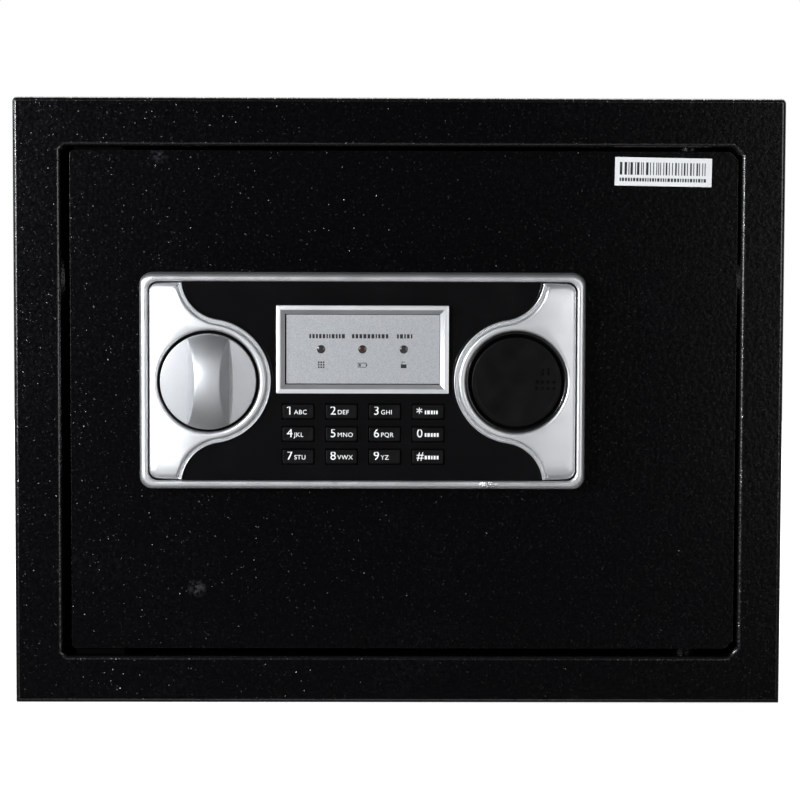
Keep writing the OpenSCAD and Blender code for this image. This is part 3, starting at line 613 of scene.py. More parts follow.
def hatch_tree():
    """Slanted ridges at an even pitch along a line that lies in an upright plane."""
    tree = Tree("slanted_ridges", Pitch="Float", Slant="Rotation", Size="Vector", Material="Material")
    path = tree.add("GeometryNodeMeshToCurve", Mesh=tree.given["Geometry"])
    even = tree.add("GeometryNodeResampleCurve", {"mode": "LENGTH"}, Curve=path.outputs[0],
                    Length=tree.given["Pitch"])
    points = tree.add("GeometryNodeCurveToPoints", {"mode": "EVALUATED"}, Curve=even.outputs[0])
    facing = tree.add("FunctionNodeAlignRotationToVector", {"axis": "Z"}, Vector=(0, -1, 0))
    along = tree.add("FunctionNodeAlignRotationToVector", {"axis": "X", "pivot_axis": "Z"},
                     Rotation=facing.outputs[0], Vector=points.outputs["Tangent"])
    slanted = tree.add("FunctionNodeRotateRotation", {"rotation_space": "LOCAL"},
                       Rotation=along.outputs[0], Rotate_By=tree.given["Slant"])
    ridge = tree.add("GeometryNodeMeshUVSphere", Segments=8, Rings=6, Radius=0.5)
    placed = tree.add("GeometryNodeInstanceOnPoints", Points=points.outputs["Points"],
                      Instance=ridge.outputs["Mesh"], Rotation=slanted.outputs[0], Scale=tree.given["Size"])
    tree.finish(placed.outputs[0])
    return tree


def stud_tree():
    """A small four-sided stud on every point of a mesh, pointing to the front."""
    tree = Tree("grip_studs", Radius="Float", Height="Float", Material="Material")
    stud = tree.add("GeometryNodeMeshCone", Vertices=4, Radius_Top=0.0, Radius_Bottom=tree.given["Radius"],
                    Depth=tree.given["Height"])
    placed = tree.add("GeometryNodeInstanceOnPoints", Points=tree.given["Geometry"],
                      Instance=stud.outputs["Mesh"], Rotation=(pi / 2, 0, 0))
    tree.finish(placed.outputs[0])
    return tree


def winding_tree():
    """A wire wound up along Z, closed at both ends."""
    tree = Tree("wound_wire", Turns="Float", Start="Float", End="Float", Rise="Float", Wire="Float",
                Material="Material")
    helix = tree.add("GeometryNodeCurveSpiral", Resolution=24, Rotations=tree.given["Turns"],
                     Start_Radius=tree.given["Start"], End_Radius=tree.given["End"],
                     Height=tree.given["Rise"])
    section = tree.add("GeometryNodeCurvePrimitiveCircle", Resolution=8, Radius=tree.given["Wire"])
    wire = tree.add("GeometryNodeCurveToMesh", Curve=helix.outputs[0], Profile_Curve=section.outputs[0],
                    Fill_Caps=True)
    tree.finish(wire.outputs[0])
    return tree


HATCH = hatch_tree()
STUDS = stud_tree()
WINDING = winding_tree()


def line_piece(name, points):
    """A wire of edges through points in millimetres, for a node tree to work on."""
    mesh = bpy.data.meshes.new(name)
    edges = [(i, i + 1) for i in range(len(points) - 1)]
    mesh.from_pydata([Vector(p) * MM for p in points], edges, [])
    return in_scene(name, mesh)


def wound(name, turns, start, end, rise, wire, finish, place):
    """A spring or winding, sizes in millimetres, moved to its place by a matrix in metres."""
    piece = WINDING.run(name, line_piece(name, [(0, 0, 0)]), Turns=turns, Start=start * MM, End=end * MM,
                        Rise=rise * MM, Wire=wire * MM, Material=finish.material)
    piece.data.transform(place)
    return piece


def joined(name, pieces):
    """Several pieces as one mesh."""
    bm = bmesh.new()
    materials = []
    for piece in pieces:
        first = len(bm.faces)
        bm.from_mesh(piece.data)
        bm.faces.ensure_lookup_table()
        for face in bm.faces[first:]:
            material = piece.data.materials[face.material_index]
            if material not in materials:
                materials.append(material)
            face.material_index = materials.index(material)
        bpy.data.objects.remove(piece)
    return stand_up(name, bm, *materials)


# ---------------------------------------------------------------- cabinet

FRAME_FRONT = box_mm("front_frame")[0].y
WRAP_BACK = box_mm("cabinet_wrap")[1].y


def in_plane(y):
    """A test for edges that lie in an upright plane."""
    return lambda points: all(abs(p.y - y) < 0.01 for p in points)


# Faces of the frame more than 2.4 mm behind its front, inside the lip and on the stop tabs, are painted
# near-black as shade.
dress("front_frame", 1.95, only=in_plane(FRAME_FRONT), steps=5, deep=(FRAME_FRONT + 2.4, SHADE_BLACK),
      worn=EDGE_COAT)
dress("cabinet_wrap", 0.8, only=in_plane(WRAP_BACK), steps=3, finish=LIT_OUTER_COAT)
dress("base_plate", 0.3, finish=LIT_OUTER_COAT)
dress("back_panel", 0.3, finish=LIT_OUTER_COAT)
dress("hinge_pins", 0.6, steps=3, finish=PIN_STEEL_SHADED)
dress("hinge_washers", 0.2, finish=FINISH["black_coat"])


def floor_mat():
    """Foam mat with pressed ribs, kept inside the CAD mat's box."""
    low, high, _ = box_mm("floor_mat")
    ribs = 46
    groove = 0.5
    groove_depth = 0.8
    hole_r = 14
    holes = (-120, 120)
    bm = merged("floor_mat")
    pitch = (high.x - low.x) / ribs
    for i in range(1, ribs):
        x = low.x + i * pitch
        if any(abs(x - h) < hole_r + 2 for h in holes):
            continue
        for side in (-groove, 0, groove):
            bmesh.ops.bisect_plane(bm, geom=[*bm.verts, *bm.edges, *bm.faces],
                                   plane_co=((x + side) * MM, 0, 0), plane_no=(1, 0, 0))
        for v in bm.verts:
            if abs(v.co.x / MM - x) < 0.01 and v.co.z / MM > high.z - 0.01:
                v.co.z -= groove_depth * MM
    shade(bm, 30)
    return stand_up("floor_mat_finished", bm, FINISH["mat_felt"].material)


fit(floor_mat(), "floor_mat")

# ---------------------------------------------------------------- door

dress("door_plate", 1.0, only=in_plane(box_mm("door_plate")[0].y), steps=4, worn=EDGE_COAT)
dress("hinge_blocks", 1.0, steps=3)
dress("mechanism_cover", 0.9, steps=3)
dress("cover_screws", 0.35)
dress("panel_screws", 0.3)

# ---------------------------------------------------------------- lock panel

RIM_LOW, RIM_HIGH, PANEL = box_mm("panel_rim")
PANEL_W = RIM_HIGH.x - RIM_LOW.x
PANEL_H = RIM_HIGH.z - RIM_LOW.z
DOOR_FACE = RIM_HIGH.y
RIM_FRONT = RIM_LOW.y
FASCIA_LOW, FASCIA_HIGH, _ = box_mm("fascia")
FASCIA_Y = FASCIA_LOW.y
INNER_W = FASCIA_HIGH.x - FASCIA_LOW.x + 0.2
INNER_H = FASCIA_HIGH.z - FASCIA_LOW.z + 0.2
RIM_BAND = (PANEL_W - INNER_W) / 2
KNOB = box_mm("knob_shaft")[2]
LOCK = box_mm("key_cylinder")[2]

# A shield's outline: a round nose about its well, then a reverse curve that sweeps out to the rim
SHIELD_TOP = FASCIA_Y - box_mm("left_shield")[0].y
WELL_R = 25
SHIELD_R = 30.7
SWEEP_R = 20.7
SWEEP_X = 7.5
SWEEP_Z = sqrt((SHIELD_R + SWEEP_R) ** 2 - SWEEP_X ** 2)
SWEEP_TURN = degrees(atan2(SWEEP_Z, SWEEP_X))
SEAM = 0.42
HALF_H = INNER_H / 2 - SEAM
OUTER_X = INNER_W / 2 - (PANEL.x - KNOB.x) - SEAM
CORNER_R = 4.6
# Height of the band over which its face rolls away at the top and bottom
ROLL = 6
# Width of the display frame, from its outside to the foot of its slope
BEZEL_IN = 4.3


def panel_rim():
    """Rounded silver rim: it rolls over towards the door outside and drops steeply inside."""
    behind = [(0.0, 4.6), (0.1, 3.0), (0.35, 1.7), (0.8, 0.8), (1.4, 0.28), (2.0, 0.06), (2.6, 0.0),
              (3.4, 0.02), (3.8, 0.18), (4.05, 0.5), (RIM_BAND - 0.03, 1.1)]
    crown = [(inset, RIM_FRONT + depth) for inset, depth in behind]
    profile = [(0.0, DOOR_FACE)] + crown + [(RIM_BAND, FASCIA_Y + 1.9), (RIM_BAND - 1.2, DOOR_FACE)]
    shape = framed(PANEL.x, PANEL.z, PANEL_W, PANEL_H, 6, profile, ring=True, steps=12, inner_r=5)
    return make("rim", [shape], FINISH["rim_silver"])


NOSE_STEPS = 40
SWEEP_STEPS = 24
SWEPT = NOSE_STEPS + SWEEP_STEPS


def shield_loop(a, b):
    """Outline of the left shield about its well, cut back by a on its swept edge and by b at the rim."""
    top = HALF_H - b
    end = 180 - degrees(asin((top - SWEEP_Z) / (SWEEP_R + a)))
    corner_r = max(CORNER_R - b, 0.4)
    left = -OUTER_X + b
    nose = arc(0, 0, SHIELD_R - a, 0, SWEEP_TURN, NOSE_STEPS)
    sweep = arc(SWEEP_X, SWEEP_Z, SWEEP_R + a, SWEEP_TURN + 180, end, SWEEP_STEPS)[1:]
    corner = arc(left + corner_r, top - corner_r, corner_r, 90, 180, 8)
    edge = line(sweep[-1], corner[0], 10)
    side = line(corner[-1], (left, 0), 24)
    upper = nose + sweep + edge + corner + side + [(left, 0)]
    lower = [(x, -z) for x, z in reversed(upper[1:-1])]
    is_swept = [i <= SWEPT for i in range(len(upper))]
    return upper + lower, is_swept + list(reversed(is_swept[1:-1]))


def shield_height(x, z):
    """Height of the shield's face over the fascia; it falls away to the outside, the top and the bottom."""
    outward = min(1, max(0, -x / OUTER_X))
    upright = max(0, (abs(z) - HALF_H + ROLL) / ROLL)
    return max(0.3, SHIELD_TOP - 2.4 * outward ** 2 - 1.5 * upright ** 2)


# Cut back at the swept edge, cut back at the rim, height of the trim there, drop from the face at the rim
SHIELD_RINGS = [
    (0.00, 0.00, 1.50, 1.60), (0.05, 0.08, 1.80, 1.20), (0.17, 0.22, 2.05, 0.85), (0.33, 0.42, 2.12, 0.55),
    (0.50, 0.65, 2.02, 0.32), (0.60, 0.85, 1.75, 0.20), (0.64, 1.05, 1.40, 0.12), (1.84, 1.40, 1.40, 0.05),
    (1.86, 1.60, 0.60, 0.03), (2.18, 1.80, 0.60, 0.01), (2.20, 2.00, 2.00, 0.00)]
# Inside the trim: cut back at the swept edge, cut back at the rim, drop from the face at the swept edge
SHOULDER_RINGS = [(2.28, 2.2, 0.85), (2.48, 2.4, 0.42), (2.78, 2.7, 0.14), (3.15, 3.1, 0.02)]
# Outside the well: extra radius, drop from the face
WELL_RINGS = [(1.5, 0.0), (0.9, 0.12), (0.45, 0.38), (0.15, 0.8), (0.0, 1.4)]


def over_fascia(centre, side, x, z, height):
    """A point over the fascia, from a place about a shield's well; side -1 mirrors it left to right."""
    return centre.x + side * x, FASCIA_Y - height, centre.z + z


def shield(name, centre, side, node):
    """A silver shield: bead and trim along its swept edge, rolled edges, a round well."""
    loops = []

    def ring(points, heights):
        """Adds a loop of points at their heights over the fascia."""
        loops.append([over_fascia(centre, side, x, z, h) for (x, z), h in zip(points, heights)])

    base, swept = shield_loop(0, 0)
    ring(base, [0.0] * len(base))
    for a, b, trim, drop in SHIELD_RINGS:
        points, _ = shield_loop(a, b)
        ring(points, [trim if s else shield_height(x, z) - drop for (x, z), s in zip(points, swept)])
    for a, b, drop in SHOULDER_RINGS:
        points, _ = shield_loop(a, b)
        ring(points, [shield_height(x, z) - (drop if s else 0) for (x, z), s in zip(points, swept)])
    outer = points
    angles = [atan2(z, x) % (2 * pi) for x, z in outer]
    for i in range(1, len(angles)):
        angles[i] = max(angles[i], angles[i - 1])

    def well(extra):
        """Circle about the well, one point for each of the outline's directions."""
        return [((WELL_R + extra) * cos(a), (WELL_R + extra) * sin(a)) for a in angles]

    inner = well(WELL_RINGS[0][0])
    for t in (0.2, 0.4, 0.6, 0.8):
        between = [(p[0] + (q[0] - p[0]) * t, p[1] + (q[1] - p[1]) * t) for p, q in zip(outer, inner)]
        ring(between, [shield_height(x, z) for x, z in between])
    for extra, drop in WELL_RINGS:
        points = well(extra)
        ring(points, [shield_height(x, z) - drop for x, z in points])
    ring(well(0), [0.0] * len(angles))
    piece = make(name, [skin(loops, ring=True)], FINISH["shield_silver"])
    fit(piece, node)

    trim_middle = 1.24
    trim_top = 1.42
    middle, _ = shield_loop(trim_middle, 1.2)
    path = [over_fascia(centre, side, x, z, trim_top) for x, z in middle[-SWEPT:] + middle[:SWEPT + 1]]
    slant = radians(-52 * side)
    ridges = HATCH.run(name + "_hatch", line_piece(name + "_hatch", path), Pitch=0.86 * MM,
                       Slant=(0, 0, slant), Size=Vector((1.35, 0.42, 0.8)) * MM,
                       Material=FINISH["shield_silver"].material)
    fit(ridges, node, replaces=False)


def fascia_edge(name, centre, side):
    """Rounded step of the fascia, a narrow gap away from a shield's swept edge."""
    tracks = [shield_loop(-out, 0.3)[0] for out in (0.55, 0.64, 0.78, 0.94, 1.12, 1.3)]
    heights = (-0.1, 0.17, 0.3, 0.3, 0.15, -0.1)
    sections = [[over_fascia(centre, side, *track[i], h) for track, h in zip(tracks, heights)]
                for i in range(-SWEPT, SWEPT + 1)]
    fit(make(name, [skin(sections)], FINISH["fascia_black"], sharp=70), "fascia", replaces=False)


def window_bezel():
    """Mitred silver frame: a flat band outside and a slope down to the plate inside, the slope painted a
    darker silver as shade.
    """
    low, high, centre = box_mm("window_bezel")
    w = high.x - low.x
    h = high.z - low.z
    front = low.y
    profile = [(0.0, FASCIA_Y), (0.0, front + 0.35), (0.1, front + 0.1), (0.35, front), (2.0, front),
               (2.15, front + 0.1), (2.25, front + 0.3), (4.1, front + 1.65), (4.25, front + 1.75),
               (BEZEL_IN, front + 1.9), (BEZEL_IN, FASCIA_Y)]
    shape = framed(centre.x, centre.z, w, h, 0.25, profile, ring=True, steps=2)
    piece = make("bezel", [shape], BEZEL_BAND, sharp=24)
    piece.data.materials.append(BEZEL_SLOPE_SHADED.material)
    # Faces of the slope take the darker silver as painted shade.
    for face in piece.data.polygons:
        on_slope = (front + 0.25) * MM < face.center.y < (front + 1.8) * MM
        if on_slope and abs(face.normal.y) < 0.93:
            face.material_index = 1
    return piece


def cap_seat():
    """Black ring in the right-hand well: a low wall with a sloped inner lip."""
    front = box_mm("cover_seat")[0].y
    profile = eased([(WELL_R - 0.15, FASCIA_Y), (WELL_R - 0.15, front), (WELL_R - 1.1, front),
                     (WELL_R - 2.45, FASCIA_Y - 0.3), (WELL_R - 2.45, FASCIA_Y)], 0.45, 4)
    loops = [[(x, y, z) for x, z in arc(LOCK.x, LOCK.z, r, 0, 360, 128)[:-1]] for r, y in profile]
    return make("cap_ring", [skin(loops, ring=True)], RING_BLACK)


def keyhole_cap():
    """Round cap: a shallow dish with a rolled edge, and a skirt behind."""
    low, high, _ = box_mm("keyhole_cover")
    r = (high.x - low.x) / 2
    face = FASCIA_Y - 3
    profile = eased([(0, face + 0.18), (r - 2.2, face + 0.14), (r - 1.4, face), (r, face), (r, high.y),
                     (r - 2, high.y), (r - 2, FASCIA_Y), (0, FASCIA_Y)], 0.7, 5)
    return make("cap", [turned(LOCK.x, LOCK.z, profile, 128)], FINISH["cap_black"])


def cap_studs():
    """Rows of small studs that give the finger a grip on the cap."""
    rows = [((1, 2), 6.0), ((1, 2), 4.1), (range(4), 0.0), (range(4), -3.1)]
    pitch = 2.8
    first = LOCK.x + 18.2
    points = [(first - i * pitch, FASCIA_Y - 2.96, LOCK.z + z) for places, z in rows for i in places]
    return STUDS.run("cap_studs", line_piece("cap_studs", points), Radius=0.9 * MM, Height=0.3 * MM,
                     Material=FINISH["cap_black"].material)


LAMP_LOW, LAMP_HIGH, LAMP_ROW = box_mm("indicator_leds")
LAMP_R = (LAMP_HIGH.z - LAMP_LOW.z) / 2
LAMP_PITCH = (LAMP_HIGH.x - LAMP_LOW.x) / 2 - LAMP_R


def lamps():
    """Three domed lamps, the middle one red."""
    rise = 0.45
    angles = [radians(t) for t in range(0, 91, 15)]
    dome = [(LAMP_R * sin(a), LAMP_LOW.y + rise * (1 - cos(a))) for a in angles]
    profile = dome + [(LAMP_R, LAMP_HIGH.y), (0, LAMP_HIGH.y)]
    made = []
    for i in (-1, 0, 1):
        shape = turned(LAMP_ROW.x + i * LAMP_PITCH, LAMP_ROW.z, profile, 40)
        made.append(make("lamp", [shape], RED_LENS if i == 0 else FINISH["led_lens"]))
    return joined("lamps", made)


fit(panel_rim(), "panel_rim")
shield("left_shield_finished", KNOB, 1, "left_shield")
shield("right_shield_finished", LOCK, -1, "right_shield")
fascia_edge("fascia_edge_left", KNOB, 1)
fascia_edge("fascia_edge_right", LOCK, -1)
fit(window_bezel(), "window_bezel")
fit(cap_seat(), "cover_seat")
fit(keyhole_cap(), "keyhole_cover")
fit(cap_studs(), "keyhole_cover", replaces=False)
fit(lamps(), "indicator_leds")
dress("panel_base", 0.3)
dress("fascia", 0.25, steps=3)
dress("display_plate", 0.1)
dress("circuit_board", 0.15)
dress("keypad_mat", 0.4)


# ---------------------------------------------------------------- knob

KNOB_LOW, KNOB_HIGH, _ = box_mm("knob")
DISC_R = (KNOB_HIGH.x - KNOB_LOW.x) / 2
DISC_BACK = FASCIA_Y - 0.6
DISC_FACE = DISC_BACK - 4.5
GRIP_RISE = DISC_FACE - KNOB_LOW.y
GRIP_REACH = DISC_R - 0.35
GRIP_FOOT = 10.3
GRIP_SLOPE = 0.43
GRIP_CROWN = 0.5
ARCH_R = 34


def grip_loop(v):
    """One cross-section of the grip, v from -1 to 1 along it: flanks that lean in, under an arched crown."""
    top = GRIP_RISE - GRIP_CROWN
    height = sqrt(ARCH_R ** 2 - (GRIP_REACH * v) ** 2) - (ARCH_R - top)
    crest = GRIP_FOOT - GRIP_SLOPE * height
    ridge = 0.42
    flank_steps = 5
    crown_steps = 12
    half = [(GRIP_FOOT, -0.4)]
    for i in range(flank_steps + 1):
        h = (height - ridge) * i / flank_steps
        half.append((GRIP_FOOT - GRIP_SLOPE * h, h))
    half.append((crest + 0.08, height - 0.16))
    crown = []
    for i in range(crown_steps + 1):
        c = 1 - 2 * i / crown_steps
        crown.append(((crest - 0.22) * c, height + GRIP_CROWN * (1 - c * c)))
    section = half + crown + [(-x, h) for x, h in reversed(half)]
    return [(KNOB.x + x, DISC_FACE - h, KNOB.z + v * sqrt(GRIP_REACH ** 2 - x * x)) for x, h in section]


def knob():
    """Matt silver disc with a waisted, arched grip across it."""
    steps = 56
    hub_r = 8
    profile = [(0, DISC_FACE), (DISC_R, DISC_FACE), (DISC_R, DISC_BACK), (hub_r, DISC_BACK),
               (hub_r, KNOB_HIGH.y), (0, KNOB_HIGH.y)]
    disc = turned(KNOB.x, KNOB.z, eased(profile, 0.45, 4), 128)
    grip = skin([grip_loop(sin(pi / 2 * (2 * i / steps - 1))) for i in range(steps + 1)])
    return make("knob_finished", [disc, grip], FINISH["knob_silver"], sharp=34)


fit(knob(), "knob")

# ---------------------------------------------------------------- keys and printing


def key_cap(node):
    """A key: rounded corners, a rolled edge and a shallow dish, with its flange behind."""
    low, high, centre = box_mm(node)
    flange_w = high.x - low.x
    flange_h = high.z - low.z
    flange = 1
    w = flange_w - 2 * flange
    h = flange_h - 2 * flange
    front = low.y
    cap = [(0, high.y - 1), (0, front + 0.4), (0.1, front + 0.16), (0.28, front + 0.03), (0.5, front),
           (1.4, front + 0.1), (2.6, front + 0.16)]
    shapes = [framed(centre.x, centre.z, w, h, 0.9, cap, steps=5),
              framed(centre.x, centre.z, flange_w, flange_h, 1.2, [(0, high.y), (0, high.y - 1)], steps=4)]
    return make(node + "_finished", shapes, FINISH["key_black"], sharp=44)


def lettering(name, items, y, finish):
    """Flat printed characters as one mesh; items are (text, left x, base z, height) in millimetres."""
    made = []
    for text, x, z, height in items:
        curve = bpy.data.curves.new(name, "FONT")
        curve.body = text
        curve.size = height / 0.7
        curve.space_character = 1.08
        curve.extrude = 0.03
        curve.resolution_u = 4
        holder = in_scene(name, curve)
        mesh = bpy.data.meshes.new_from_object(holder.evaluated_get(bpy.context.evaluated_depsgraph_get()))
        bpy.data.objects.remove(holder)
        mesh.transform(Matrix.Translation(Vector((x, y, z)) * MM) @ Matrix.Rotation(pi / 2, 4, "X")
                       @ Matrix.Scale(MM, 4))
        mesh.materials.clear()
        mesh.materials.append(finish.material)
        made.append(in_scene(name, mesh))
    return joined(name, made)


def dashes(x, z, width, height, seed):
    """A row of short blocks that stands for a printed word, from x over a width."""
    pick = random.Random(seed)
    out = []
    at = x
    while at < x + width - 0.5:
        step = min(pick.uniform(0.55, 1.2) * height * 0.6, x + width - at)
        out.append((at, z, at + step, z + height))
        at += step + 0.28 * height
    return out


def print_blocks(name, areas, y, thickness, finish):
    """Flat printed areas, each (x0, z0, x1, z1), standing a hair proud of a surface."""
    blocks = [block((x0, y - thickness, z0), (x1, y + 0.01, z1)) for x0, z0, x1, z1 in areas]
    return make(name, blocks, finish)


def strokes(name, bars, y):
    """Printed straight strokes of a sign, each (x, z, half length, half width, turn in degrees)."""
    made = []
    for x, z, half, width, turn in bars:
        c = cos(radians(turn))
        s = sin(radians(turn))
        corners = ((-half, -width), (half, -width), (half, width), (-half, width))
        outline = [(x + u * c - v * s, z + u * s + v * c) for u, v in corners]
        made.append(skin([[(px, level, pz) for px, pz in outline] for level in (y - 0.05, y + 0.01)]))
    return make(name, made, WHITE_INK)


# Digit or sign and letters of each key; a key without letters has dashes instead
KEY_TEXT = {"key_1": ("1", "ABC"), "key_2": ("2", "DEF"), "key_3": ("3", "GHI"), "key_star": ("*", ""),
            "key_4": ("4", "JKL"), "key_5": ("5", "MNO"), "key_6": ("6", "PQR"), "key_0": ("0", ""),
            "key_7": ("7", "STU"), "key_8": ("8", "VWX"), "key_9": ("9", "YZ"), "key_hash": ("#", "")}

DIGIT_H = 4.25


def printed_key(node, digit, letters):
    """A key with its printing: a digit or sign, and letters or a row of dashes beside it."""
    fit(key_cap(node), node)
    low, high, centre = box_mm(node)
    left = centre.x - 5.6
    base = centre.z - 1.4
    foot = base - 0.1
    face = low.y + 0.12
    if digit == "*":
        star = [(left + 1.3, base + 2.0, 1.6, 0.2, turn) for turn in (30, 90, 150)]
        legend = strokes("legend_" + node, star, face)
    else:
        items = [(digit, left, foot, DIGIT_H)]
        if letters:
            items.append((letters, left + 3.6, base + 0.05, 2.2))
        legend = lettering("legend_" + node, items, face - 0.02, WHITE_INK)
    fit(legend, node, replaces=False)
    if digit == "1":
        flag = [(left + 0.62, foot + DIGIT_H - 0.62, 0.62, 0.2, 38)]
        fit(strokes("flag_" + node, flag, face), node, replaces=False)
    if not letters:
        areas = dashes(left + 4.0, base + 0.2, 6.8, 1.8, node)
        fit(print_blocks("bars_" + node, areas, face, 0.05, WHITE_INK), node, replaces=False)


for node, (digit, letters) in KEY_TEXT.items():
    printed_key(node, digit, letters)

PLATE_FACE = box_mm("display_plate")[0].y


def display_print():
    """Printing on the display plate: dashes over each lamp and a small sign under it."""
    x = LAMP_ROW.x
    above = LAMP_ROW.z + 5.4
    below = LAMP_ROW.z - 9.2
    areas = dashes(x - LAMP_PITCH - 5.8, above, 17.5, 2.1, 3)
    areas += dashes(x - 5.2, above, 18.4, 2.1, 5)
    areas += dashes(x + LAMP_PITCH - 3.4, above, 7.8, 2.1, 8)
    for i in range(3):
        for k in range(3):
            left = x - LAMP_PITCH - 1.6 + 1.2 * i
            foot = below + 1.2 * k
            areas.append((left, foot, left + 0.8, foot + 0.8))
    rule = 0.3
    x0 = x - 2.3
    x1 = x + 1.9
    z0 = below + 0.3
    z1 = below + 2.6
    terminal = ((z0 + z1) / 2 - 0.45, (z0 + z1) / 2 + 0.45)
    areas += [(x0, z0, x1, z0 + rule), (x0, z1 - rule, x1, z1), (x0, z0, x0 + rule, z1),
              (x1 - rule, z0, x1, z1), (x1, terminal[0], x1 + 0.4, terminal[1]),
              (x0 + 0.6, z0 + 0.6, x0 + 1.5, z1 - 0.6)]
    lock = x + LAMP_PITCH
    areas += [(lock - 1.5, below, lock + 1.3, below + 1.9),
              (lock - 1.1, below + 1.9, lock - 0.8, below + 3.1),
              (lock - 1.1, below + 2.85, lock + 0.8, below + 3.15)]
    return print_blocks("display_print", areas, PLATE_FACE, 0.03, DARK_INK)


fit(display_print(), "display_plate", replaces=False)


def display_gap_shadow():
    """Thin near-black strips between the display plate and the foot of the bezel's slope: a painted shadow
    of the gap there.
    """
    low, high, _ = box_mm("window_bezel")
    lap = 0.1
    x0 = low.x + BEZEL_IN - lap
    x1 = high.x - BEZEL_IN + lap
    z0 = low.z + BEZEL_IN - lap
    z1 = high.z - BEZEL_IN + lap
    left = (x0, z0, x0 + 0.8, z1)
    right = (x1 - 0.3, z0, x1, z1)
    bottom = (x0, z0, x1, z0 + 0.55)
    top = (x0, z1 - 0.4, x1, z1)
    return print_blocks("display_gap_shadow", (left, right, bottom, top), PLATE_FACE, 0.05, SHADE_BLACK)


fit(display_gap_shadow(), "display_plate", replaces=False)


def label_print():
    """A plain bar pattern and a short dashed line on the white label, which is stuck on slightly askew."""
    low, high, centre = box_mm("blank_label")
    pick = random.Random(11)
    reach = 21.5
    areas = []
    x = centre.x - reach
    while x < centre.x + 20.5:
        width = pick.choice((0.45, 0.45, 0.8, 1.2))
        areas.append((x, centre.z - 1.6, x + width, centre.z + 4.6))
        x += width + pick.choice((0.5, 0.75, 1.1))
    areas += dashes(centre.x - reach, centre.z - 4.8, 2 * reach, 1.7, 21)
    piece = print_blocks("label_print", areas, low.y, 0.02, DARK_INK)
    tilt = Matrix.Rotation(radians(0.9), 4, "Y")
    middle = Matrix.Translation(centre * MM)
    piece.data.transform(middle @ tilt @ middle.inverted())
    return piece


dress("blank_label", 0.05)
fit(label_print(), "blank_label", replaces=False)

# ---------------------------------------------------------------- bolt work, behind the cover

# How far the edges of each part are eased
EASED_BY = {"key_cylinder": 0.4, "cylinder_nut": 0.5, "knob_bush": 0.4, "carriage_studs": 0.4,
            "solenoid_frame": 0.3, "battery_box": 0.4, "control_board": 0.2, "wire_harness": 0.1,
            "reset_switch": 0.3, "knob_shaft": 0.4, "crank_disc": 0.5, "bolt_carriage": 0.4,
            "live_bolts": 0.5, "solenoid_plunger": 0.4, "key_plug": 0.25, "override_cam": 0.3,
            "battery_cover": 0.5}
for node, edge in EASED_BY.items():
    dress(node, edge)


def bobbin():
    """Wire wound in even turns between two flanges."""
    low, high, centre = box_mm("solenoid_coil")
    r = (high.x - low.x) / 2
    bore_r = 3.05
    flange = 1.2
    profile = [(bore_r, low.z), (r, low.z), (r, low.z + flange), (r - 1.4, low.z + flange),
               (r - 1.4, high.z - flange), (r, high.z - flange), (r, high.z), (bore_r, high.z)]
    loops = [[(x, y, z) for x, y in arc(centre.x, centre.y, radius, 0, 360, 64)[:-1]]
             for radius, z in profile]
    body = make("bobbin_body", [skin(loops, ring=True)], FINISH["coil_tape"])
    rise = high.z - low.z - 2 * flange - 1
    place = Matrix.Translation(Vector((centre.x, centre.y, low.z + flange + 0.5)) * MM)
    wire = wound("bobbin_wire", 44, r - 1.3, r - 1.3, rise, 0.36, FINISH["coil_tape"], place)
    return joined("coil", [body, wire])


def return_spring():
    """Spring between the coil's frame and the plunger's collar."""
    low, high, centre = box_mm("plunger_spring")
    wire = 0.45
    r = (high.x - low.x) / 2 - wire
    place = Matrix.Translation(Vector((centre.x, centre.y, low.z + wire)) * MM)
    piece = wound("return_spring", 3.5, r, r, high.z - low.z - 2 * wire, wire, FINISH["steel"], place)
    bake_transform(piece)
    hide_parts("plunger_spring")


CELLS = 4
CELL_LOW, CELL_HIGH, CELL_MIDDLE = box_mm("batteries")
CELL_R = (CELL_HIGH.y - CELL_LOW.y) / 2
CELL_PITCH = (CELL_HIGH.z - CELL_LOW.z - 2 * CELL_R) / (CELLS - 1)
CELL_ROWS = [CELL_LOW.z + CELL_R + i * CELL_PITCH for i in range(CELLS)]


def cells():
    """Four round cells, each with a metal cap and nipple, laid head to tail."""
    half = (CELL_HIGH.x - CELL_LOW.x) / 2
    sleeve = [(0, -half + 0.6), (CELL_R - 1.2, -half + 0.6), (CELL_R - 1.2, -half), (CELL_R, -half),
              (CELL_R, half - 1.3), (CELL_R - 1.0, half - 1.0), (CELL_R - 1.0, half - 1.4), (0, half - 1.4)]
    nipple = [(4.6, half - 1.5), (4.4, half - 1.2), (2.9, half - 1.05), (2.6, half - 0.1), (2.3, half),
              (0, half)]
    made = []
    for i, z in enumerate(CELL_ROWS):
        lay_down = Matrix.Rotation(-pi / 2 if i % 2 == 0 else pi / 2, 4, "Z")
        place = Matrix.Translation(Vector((CELL_MIDDLE.x, CELL_MIDDLE.y, z)) * MM)
        for name, profile, slot in (("sleeve", sleeve, "cell_sleeve"), ("cap", nipple, "zinc_steel")):
            piece = make(name, [turned(0, 0, eased(profile, 0.35, 3), 48)], FINISH[slot])
            piece.data.transform(place @ lay_down)
            made.append(piece)
    return joined("cells", made)


